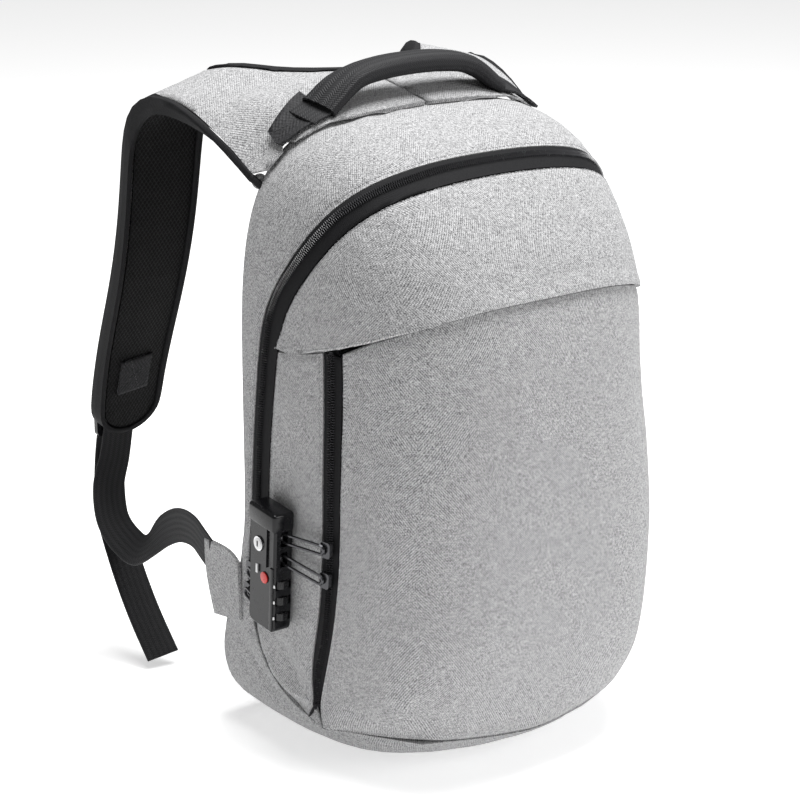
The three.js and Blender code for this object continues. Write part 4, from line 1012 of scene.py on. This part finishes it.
panelCloth = {
    "pressure": 3.0, "stiffness": 12.0, "bending": 0.6, "holdWidth": 0.012, "cap": 0.0022, "frames": 12,
}


def liftHem(piece, hem):
    # The lowest edge of a flap stands off the cloth under it
    points = pointsOf(piece)
    columns = np.round(points[:, 0] / 0.004).astype(int)
    lowest = {column: points[columns == column, 2].min() for column in set(columns)}
    above = points[:, 2] - np.array([lowest[column] for column in columns])
    share = np.exp(-((above / hem["height"]) ** 2)) * facingOut(piece)
    setPoints(piece, points + normalsOf(piece) * (share * hem["lift"])[:, None])


def buildPanel(name, look):
    piece = weldedCopy(look["node"], name)
    creaseEdges(piece, 55)
    subdivide(piece, look["levels"])
    swellCloth(piece, panelCloth)
    seamShape(piece, look, facingOut(piece))
    if "hem" in look:
        liftHem(piece, look["hem"])
    smoothShade(piece, 40)
    return finish(piece, materials["greyCloth"], "bag", "grey_polyester", look["node"])


panels = {}
for name, look in panelLooks.items():
    panels[name] = buildPanel(name, look)
    print("stage: panel", name, len(panels[name].data.polygons), "faces")

# The padded back, the shoulder pads and their mesh lining

padLooks = {
    "back_pad": {
        "node": "back_panel", "levels": 2, "slot": "black_mesh", "material": "airMesh", "fill": 0.5,
        "dip": 0.0008, "dipWidth": 0.004, "pucker": 0.0008, "puckerSize": 0.015, "puckerReach": 0.02,
        "wave": 0.0007, "waveSize": 0.06, "crown": 0.0006, "seed": 21,
    },
    "shoulder_pad": {
        "node": "strap_pad", "levels": 2, "slot": "grey_polyester", "material": "greyCloth", "fill": 0.6,
        "dip": 0.0006, "dipWidth": 0.003, "pucker": 0.0009, "puckerSize": 0.010, "puckerReach": 0.014,
        "wave": 0.0004, "waveSize": 0.03, "crown": 0.0003, "seed": 25,
    },
    "shoulder_lining": {
        "node": "strap_mesh", "levels": 3, "slot": "black_mesh", "material": "airMesh", "fill": 0.6,
        "dip": 0.0004, "dipWidth": 0.003, "pucker": 0.0006, "puckerSize": 0.010, "puckerReach": 0.014,
        "wave": 0.0003, "waveSize": 0.03, "crown": 0.0004, "seed": 29,
    },
}
padCloth = {
    "pressure": 4.0, "stiffness": 8.0, "bending": 0.4, "holdWidth": 0.009, "cap": 0.002, "frames": 16,
}


def buildPad(name, look, side=""):
    node = look["node"] + side
    piece = weldedCopy(node, name + side)
    creaseEdges(piece, 28)
    subdivide(piece, look["levels"])
    swellCloth(piece, padCloth)
    seamShape(piece, look)
    smoothShade(piece, 45)
    finish(piece, materials[look["material"]], "bag", look["slot"], node)


buildPad("back_pad", padLooks["back_pad"])
for side in ("_left", "_right"):
    for name in ("shoulder_pad", "shoulder_lining"):
        buildPad(name, padLooks[name], side)
print("stage: pads")

# Bindings, patches, tabs, wings and the handle, from their CAD shapes

trimLooks = {
    "pad_binding": {"node": "strap_binding", "levels": 1, "slot": "black_tape", "material": "binding"},
    "pad_patch": {"node": "strap_patch", "levels": 2, "slot": "black_webbing", "material": "patch"},
    "pad_tab": {"node": "strap_tab", "levels": 2, "slot": "grey_polyester", "material": "greyCloth"},
    "handle_patch": {"node": "handle_patch", "levels": 1, "slot": "black_webbing", "material": "patch"},
    "strap_wing": {"node": "wing", "levels": 3, "slot": "grey_polyester", "material": "greyCloth"},
}


def buildTrim(name, look, side):
    node = look["node"] + side
    piece = weldedCopy(node, name + side + "_cloth")
    creaseEdges(piece, 50)
    subdivide(piece, look["levels"])
    smoothShade(piece, 45)
    return finish(piece, materials[look["material"]], "bag", look["slot"], node)


trims = {}
for side in ("_left", "_right"):
    for name, look in trimLooks.items():
        trims[name + side] = buildTrim(name, look, side)

# The outer binding runs on until it goes under the bag's shell

bindingEnd = {
    "place": (0.1212, 0.0035, 0.3915),
    "toward": (0.1120, -0.0120, 0.3790),
    "radius": 0.0026,
    "tuck": 0.004,
}
for side, turn in (("_left", -1), ("_right", 1)):
    start = Vector(bindingEnd["place"]) * Vector((turn, 1, 1))
    end = Vector(bindingEnd["toward"]) * Vector((turn, 1, 1))
    length = (end - start).length + bindingEnd["tuck"]
    bpy.ops.object.select_all(action="DESELECT")
    bpy.ops.mesh.primitive_cylinder_add(
        vertices=16, radius=bindingEnd["radius"], depth=length, location=(start + end) / 2
    )
    piece = bpy.context.object
    piece.name = "pad_binding" + side + "_root"
    piece.rotation_euler = (end - start).to_track_quat("Z", "Y").to_euler()
    bpy.ops.object.transform_apply(location=True, rotation=True, scale=True)
    smoothShade(piece, 45)
    finish(piece, materials["binding"], "bag", "black_tape")

# The handle: a flat strap between its two patches, with a folded sleeve round the grip

handleLook = {
    "step": 0.0025, "wall": 0.0017, "sleeveShort": 0.012, "endWidth": 0.0270, "gripWidth": 0.0235,
    "endDepth": 0.0066, "gripDepth": 0.0110, "sides": 20, "row": 0.0040, "sleeveRound": 0.055,
}


def planeCuts(node, places):
    # Where planes across X meet a CAD node: the cut's points at each place
    mesh = cadNodes[node].data
    points = np.array([vertex.co[:] for vertex in mesh.vertices])
    ends = np.array([edge.vertices[:] for edge in mesh.edges])
    first, second = points[ends[:, 0]], points[ends[:, 1]]
    cuts = []
    for x in places:
        low, high = first[:, 0] - x, second[:, 0] - x
        met = (low * high) < 0
        share = (low[met] / (low[met] - high[met]))[:, None]
        cuts.append(first[met] * (1 - share) + second[met] * share)
    return cuts


def handleFrames():
    low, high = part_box("top_handle")
    reach = high.x - 0.004
    places = np.linspace(-reach, reach, 37) + 0.00001
    middles, wide = [], []
    for cut in planeCuts("top_handle", places):
        middles.append((cut.max(0) + cut.min(0)) / 2)
        span = cut - cut.mean(0)
        _, _, axes = np.linalg.svd(span)
        wide.append(axes[0] * (1 if axes[0][1] > 0 else -1))
    middles = np.array(middles)
    forward = np.gradient(middles, axis=0)
    forward /= np.linalg.norm(forward, axis=1)[:, None]
    wide = np.array(wide)
    thin = np.cross(forward, wide)
    half = np.full(len(middles), handleLook["endWidth"] / 2 - 0.001)
    return resample((middles, forward, wide, thin, half, half), handleLook["step"])


def buildSleeve(frames):
    # A long cylinder whose rings are set on the path, flat at its ends and fuller at the grip
    place, forward, axis, other, _, _ = frames
    inside = np.abs(place[:, 0]) < np.abs(place[:, 0]).max() - handleLook["sleeveShort"]
    place, axis, other = place[inside], axis[inside], other[inside]
    count = len(place)
    piece, flat, station = flatGrid("handle_sleeve", count, handleLook["sides"])
    turn = (flat[:, 1] + 0.5) * 2 * math.pi
    full = np.sin(np.pi * np.linspace(0, 1, count)) ** 0.6
    wide = (handleLook["endWidth"] + (handleLook["gripWidth"] - handleLook["endWidth"]) * full) / 2
    deep = (handleLook["endDepth"] + (handleLook["gripDepth"] - handleLook["endDepth"]) * full) / 2
    across = np.sign(np.cos(turn)) * np.abs(np.cos(turn)) ** 0.7
    upward = np.sign(np.sin(turn)) * np.abs(np.sin(turn)) ** 0.8
    setPoints(
        piece,
        place[station]
        + axis[station] * (across * wide[station])[:, None]
        + other[station] * (upward * deep[station])[:, None],
    )
    applyModifier(piece, "SOLIDIFY", thickness=handleLook["wall"], offset=-1.0)
    activate(piece)
    bpy.ops.object.mode_set(mode="EDIT")
    bpy.ops.mesh.select_all(action="SELECT")
    bpy.ops.mesh.remove_doubles(threshold=0.00005)
    bpy.ops.mesh.normals_make_consistent(inside=False)
    bpy.ops.object.mode_set(mode="OBJECT")
    smoothShade(piece, 50)
    return piece


handlePath = handleFrames()
handleLength = float(np.linalg.norm(np.diff(handlePath[0], axis=0), axis=1).sum())
handleStrap = stripPiece("handle_strap", handlePath, handleLook["wall"])
handleMaterial = webbingMaterial(
    materials["groups"], "webbingHandle", handleLength, handleLook["endWidth"], handleLook["row"]
)
finish(handleStrap, handleMaterial, "bag", "black_webbing", "top_handle")
sleeve = buildSleeve(handlePath)
sleeveMaterial = webbingMaterial(
    materials["groups"], "webbingSleeve", handleLength * 0.85, handleLook["sleeveRound"], handleLook["row"]
)
finish(sleeve, sleeveMaterial, "bag", "black_webbing")
print("stage: trims and handle")

# A small stuffed knot of cloth closes the corner where each pad goes into the shell

rootKnot = {
    "place": (0.1150, 0.0045, 0.3890), "radius": 0.0052, "lumpSize": 0.005, "lump": 0.0006, "seed": 31,
}
for side, turn in (("_left", -1), ("_right", 1)):
    middle = Vector(rootKnot["place"]) * Vector((turn, 1, 1))
    bpy.ops.object.select_all(action="DESELECT")
    bpy.ops.mesh.primitive_uv_sphere_add(
        segments=24, ring_count=16, radius=rootKnot["radius"], location=middle
    )
    piece = bpy.context.object
    piece.name = "pad_root" + side
    bpy.ops.object.transform_apply(location=True, rotation=True, scale=True)
    points = pointsOf(piece)
    lumps = noiseAt(points, rootKnot["lumpSize"], rootKnot["seed"]) * rootKnot["lump"]
    setPoints(piece, points + normalsOf(piece) * lumps[:, None])
    smoothShade(piece, 60)
    finish(piece, materials["greyCloth"], "bag", "grey_polyester")

# Webbing and tails, laid along the CAD straps

strapLooks = {
    "webbing": {
        "node": "strap_webbing", "outward": (0, 0, 1), "wall": 0.0016, "step": 0.003, "row": 0.0042,
        "tuck": 0.017,
    },
    "tail": {
        "node": "strap_tail", "outward": (0, 0, 1), "wall": 0.0016, "step": 0.003, "row": 0.0042,
        "tuck": 0.0,
    },
}
for side in ("_left", "_right"):
    for name, look in strapLooks.items():
        node = look["node"] + side
        low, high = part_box(node)
        rings = [ring for ring in ringsOf(node, (low.x, high.y, high.z), look["outward"]) if len(ring) == 4]
        frames = resample(lengthened(ringFrames(rings), look["tuck"]), look["step"])
        length = float(np.linalg.norm(np.diff(frames[0], axis=0), axis=1).sum())
        width = float(frames[4].mean() * 2)
        piece = stripPiece("strap_" + name + side + "_woven", frames, look["wall"])
        ribbed = webbingMaterial(materials["groups"], "webbing" + name + side, length, width, look["row"])
        finish(piece, ribbed, "bag", "black_webbing", node)
        print("stage: strap", name, side, len(rings), "rings", round(length, 3))

# The zips: woven tape, a coil of teeth on each side of the middle

zipLooks = {
    "main_zip": {"near": (-0.135, -0.02, 0.103), "outward": (0, 0, -1)},
    "pocket_zip": {"near": (-0.125, -0.07, 0.043), "outward": (0, 0, -1)},
}
toothLook = {
    "pitch": 0.00165,
    "reach": 0.0024,
    "thick": 0.00085,
    "height": 0.0017,
    "lift": 0.0008,
    "aside": 0.52,
    "lookFrom": 0.006,
    "smoothing": 6,
}


def toothUnit():
    bpy.ops.mesh.primitive_cylinder_add(vertices=6, radius=0.5, depth=1.0, rotation=(math.pi / 2, 0, 0))
    piece = bpy.context.object
    piece.scale = (toothLook["thick"], toothLook["height"], toothLook["reach"])
    return piece


toothPoints, toothFaces = unitFromPrimitive(toothUnit)
zipPaths = {}
for name, look in zipLooks.items():
    tape = weldedCopy(name + "_tape", name + "_tape_woven")
    creaseEdges(tape, 50)
    subdivide(tape, 2)
    smoothShade(tape, 45)
    finish(tape, materials["zipTape"], "bag", "black_tape", name + "_tape")
    rings = ringsOf(name + "_coil", look["near"], look["outward"])
    path, _, _, _, halfWide, halfThin = resample(ringFrames(rings), toothLook["pitch"])
    ground = surfaceOf(tape)
    found = []
    for point in path:
        outward = (Vector(point) - bagMiddle).normalized()
        found.append(ground.find_nearest(Vector(point) + outward * toothLook["lookFrom"]))
    place = np.array([row[0] for row in found])
    other = np.array([row[1] for row in found])
    for _ in range(toothLook["smoothing"]):
        other[1:-1] = (other[:-2] + other[1:-1] + other[2:]) / 3
        place[1:-1] = (place[:-2] + place[1:-1] + place[2:]) / 3
    forward = np.gradient(place, axis=0)
    forward /= np.linalg.norm(forward, axis=1)[:, None]
    other -= (other * forward).sum(1)[:, None] * forward
    other /= np.linalg.norm(other, axis=1)[:, None]
    axis = np.cross(other, forward)
    zipPaths[name] = (place, forward, axis, other, halfWide, halfThin)
    rows = []
    for turn, lead in ((1, 0.0), (-1, 0.5)):
        seat = place + axis * (turn * toothLook["reach"] * toothLook["aside"])
        seat = seat + forward * (lead * toothLook["pitch"]) + other * toothLook["lift"]
        rows.append(strewUnits(name + "_teeth", toothPoints, toothFaces, seat, forward, axis, other))
    activate(rows[0])
    rows[1].select_set(True)
    bpy.ops.object.join()
    coil = bpy.context.object
    coil.name = name + "_teeth"
    smoothShade(coil, 60)
    finish(coil, materials["coil"], "bag", "black_coil", name + "_coil")
    print("stage: zip", name, len(place), "teeth a side")

# The pocket zip's tape runs on under the yoke and narrows to a point at its foot

tapeEnds = {
    "pocket_zip_head": {
        "end": -1, "run": [-0.002, 0.002, 0.006], "half": [0.0050, 0.0050, 0.0050], "sink": 0.0030,
    },
    "pocket_zip_foot": {
        "end": 0, "run": [-0.006, 0.005, 0.0125], "half": [0.0040, 0.0030, 0.0010], "sink": 0.0004,
    },
}


def tapeEnd(name, look):
    place, forward, axis, other, _, _ = zipPaths["pocket_zip"]
    end = look["end"]
    ahead = forward[end] * (1 if end else -1)
    run = np.array(look["run"])
    middles = place[end] + run[:, None] * ahead - other[end] * look["sink"]
    count = len(run)
    ways = [np.tile(way, (count, 1)) for way in (ahead, axis[end], other[end])]
    halves = np.array(look["half"])
    piece = stripPiece(name, resample((middles, *ways, halves, halves), 0.002), 0.0009)
    finish(piece, materials["zipTape"], "bag", "black_tape")


for name, look in tapeEnds.items():
    tapeEnd(name, look)

# Rows of stitches, laid on the cloth under them

stitchLook = {
    "length": 0.0021, "pitch": 0.0030, "thick": 0.00048, "beside": 0.0095, "inset": 0.003, "reach": 0.006,
}


def stitchUnit():
    bpy.ops.mesh.primitive_uv_sphere_add(segments=8, ring_count=5, radius=0.5)
    piece = bpy.context.object
    piece.scale = (stitchLook["length"], stitchLook["thick"], stitchLook["thick"])
    return piece


stitchPoints, stitchFaces = unitFromPrimitive(stitchUnit)


def evenly(path, pitch):
    path = np.array(path)
    run = np.concatenate([[0], np.cumsum(np.linalg.norm(np.diff(path, axis=0), axis=1))])
    wanted = np.arange(pitch / 2, run[-1], pitch)
    return np.column_stack([np.interp(wanted, run, path[:, k]) for k in range(3)])


def stitchRow(name, paths, ground, material, slot):
    seats, ways, ups = [], [], []
    for path in paths:
        line = evenly(path, stitchLook["pitch"])
        ahead = np.gradient(line, axis=0)
        for point, way in zip(line, ahead):
            found, normal, _, away = ground.find_nearest(Vector(point))
            if found is None or away > stitchLook["reach"]:
                continue
            way = Vector(way) - normal * Vector(way).dot(normal)
            seats.append(found + normal * stitchLook["thick"] * 0.3)
            ways.append(way.normalized())
            ups.append(normal)
    seats, ways, ups = np.array(seats), np.array(ways), np.array(ups)
    piece = strewUnits(name, stitchPoints, stitchFaces, seats, ways, np.cross(ups, ways), ups)
    smoothShade(piece, 60)
    return finish(piece, materials[material], "bag", slot)


def besideZip(name, offset):
    place, _, axis, other, _, _ = zipPaths[name]
    return place + axis * offset + other * 0.002


def boxOfStitches(piece):
    # The box and cross that hold a patch down, on its own two long axes
    points = pointsOf(piece)
    middle = points.mean(0)
    _, _, axes = np.linalg.svd(points - middle, full_matrices=False)
    away = points - middle
    long = np.abs(away @ axes[0]).max() - stitchLook["inset"]
    short = np.abs(away @ axes[1]).max() - stitchLook["inset"]
    turns = ((1, 1), (1, -1), (-1, -1), (-1, 1))
    corners = [middle + axes[0] * long * a + axes[1] * short * b for a, b in turns]
    ring = corners + [corners[0]]
    return [ring, [corners[0], corners[2]], [corners[1], corners[3]]]


cloth = surfaceOf(*panels.values())
for name in ("pocket_zip", "main_zip"):
    lines = [besideZip(name, stitchLook["beside"]), besideZip(name, -stitchLook["beside"])]
    stitchRow(name + "_stitches", lines, cloth, "greyStitch", "grey_polyester")
for side in ("_left", "_right"):
    for name in ("handle_patch", "pad_patch"):
        patch = trims[name + side]
        lines = boxOfStitches(patch)
        stitchRow(name + side + "_stitches", lines, surfaceOf(patch), "blackStitch", "black_webbing")
print("stage: stitches")

# The lock's small details, placed in its own tilted frame: out from the bag, back, and up

lockLook = {
    "tilt": 4.0, "keyOut": 0.0174, "keyBack": 0.0015, "keyUp": 0.018, "capSize": (0.0166, 0.0312, 0.0135),
    "capPlace": (0.0083, 0.0, 0.0369), "capBevel": 0.0022, "ridges": 20,
    "ridgeSize": (0.0008, 0.0006, 0.0046), "dialUp": -0.031, "dialPitch": 0.0116,
}
lockTurn = Matrix.Rotation(math.radians(lockLook["tilt"]), 3, "X")
keyLow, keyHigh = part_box("lock_key_cylinder")
keyMiddle = (keyLow + keyHigh) / 2
lockOrigin = Vector((keyLow.x + lockLook["keyOut"], keyMiddle.y, keyMiddle.z))
lockOrigin -= lockTurn @ Vector((0.0, lockLook["keyBack"], lockLook["keyUp"]))


def lockPlace(out, back, up):
    return lockOrigin + lockTurn @ Vector((-out, back, up))


def onLock(piece, name, place, material, slot, body="bag", replaced=()):
    piece.name = name
    piece.rotation_euler = (lockTurn @ piece.rotation_euler.to_matrix()).to_euler()
    piece.location = lockPlace(*place)
    activate(piece)
    bpy.ops.object.transform_apply(location=True, rotation=True, scale=True)
    smoothShade(piece, 35)
    return finish(piece, materials[material], body, slot, *replaced)


def lockBox(name, size, place, bevel, material, slot, body="bag"):
    bpy.ops.object.select_all(action="DESELECT")
    bpy.ops.mesh.primitive_cube_add(size=1.0)
    piece = bpy.context.object
    piece.scale = size
    bpy.ops.object.transform_apply(scale=True)
    applyModifier(piece, "BEVEL", width=bevel, segments=3, limit_method="ANGLE")
    return onLock(piece, name, place, material, slot, body)


def lockDisc(name, radius, thick, place, material, slot, body="bag", replaced=()):
    bpy.ops.object.select_all(action="DESELECT")
    bpy.ops.mesh.primitive_cylinder_add(
        vertices=32, radius=radius, depth=thick, rotation=(0, math.pi / 2, 0)
    )
    piece = bpy.context.object
    bpy.ops.object.transform_apply(rotation=True)
    applyModifier(piece, "BEVEL", width=thick * 0.3, segments=2, limit_method="ANGLE")
    return onLock(piece, name, place, material, slot, body, replaced)


lockBox(
    "lock_cap", lockLook["capSize"], lockLook["capPlace"], lockLook["capBevel"], "plastic", "black_plastic"
)
lockBox(
    "lock_rail", (0.0014, 0.0036, 0.046), (0.0152, -0.0125, -0.018), 0.0005, "plastic", "black_plastic"
)
lockBox(
    "lock_slot_mark", (0.0006, 0.0018, 0.0065), (0.01625, 0.0040, -0.0010), 0.0002, "white", "steel"
)
lockDisc(
    "lock_mark_dot", 0.0040, 0.0010, (0.0155, -0.0040, -0.0050), "red", "signal_red", "bag", ("lock_mark",)
)
lockDisc("key_face", 0.0040, 0.0004, (0.0176, 0.0015, 0.0180), "white", "steel", "key_barrel")
lockBox(
    "key_slot", (0.0004, 0.0012, 0.0040), (0.0179, 0.0015, 0.0180), 0.0001,
    "plastic", "black_plastic", "key_barrel",
)


def ridgeUnit():
    bpy.ops.mesh.primitive_cube_add(size=1.0)
    bpy.context.object.scale = lockLook["ridgeSize"]


ridgePoints, ridgeFaces = unitFromPrimitive(ridgeUnit)
turns = np.arange(lockLook["ridges"]) * 2 * math.pi / lockLook["ridges"]
backward = lockTurn @ Vector((0, 1, 0))
outward = np.outer(np.cos(turns), (1, 0, 0)) + np.outer(np.sin(turns), backward)
upward = np.tile(np.array(lockTurn @ Vector((0, 0, 1))), (len(turns), 1))
for number in (1, 2, 3):
    dialLow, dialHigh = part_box("lock_dial_" + str(number))
    dialMiddle = (dialLow + dialHigh) / 2
    radius = (dialHigh.x - dialLow.x) / 2
    ridges = strewUnits(
        "dial_ridges_" + str(number), ridgePoints, ridgeFaces, np.array(dialMiddle) + outward * radius,
        np.cross(outward, upward), outward, upward,
    )
    finish(ridges, materials["dial"], "dial_" + str(number), "dial_plastic")
    up = lockLook["dialUp"] + (number - 1) * lockLook["dialPitch"]
    name = "dial_index_" + str(number)
    lockBox(name, (0.0012, 0.0012, 0.0022), (0.0144, -0.0146, up), 0.0005, "white", "steel")
print("stage: lock details")

# The lock and its small parts keep their CAD shapes and get their finish

hardFinishes = {
    "lock_case": "plastic", "lock_key_cylinder": "steel", "lock_dial_1": "dial", "lock_dial_2": "dial",
    "lock_dial_3": "dial", "adjuster_left": "plastic", "adjuster_right": "plastic",
    "main_1_slider": "wire", "main_1_pull": "wire", "main_2_slider": "wire", "main_2_pull": "wire",
    "pocket_1_slider": "wire", "pocket_1_pull": "wire", "pocket_2_slider": "wire", "pocket_2_pull": "wire",
}
for node, finishName in hardFinishes.items():
    cadNodes[node].data.materials.clear()
    cadNodes[node].data.materials.append(materials[finishName])

low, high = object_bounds()
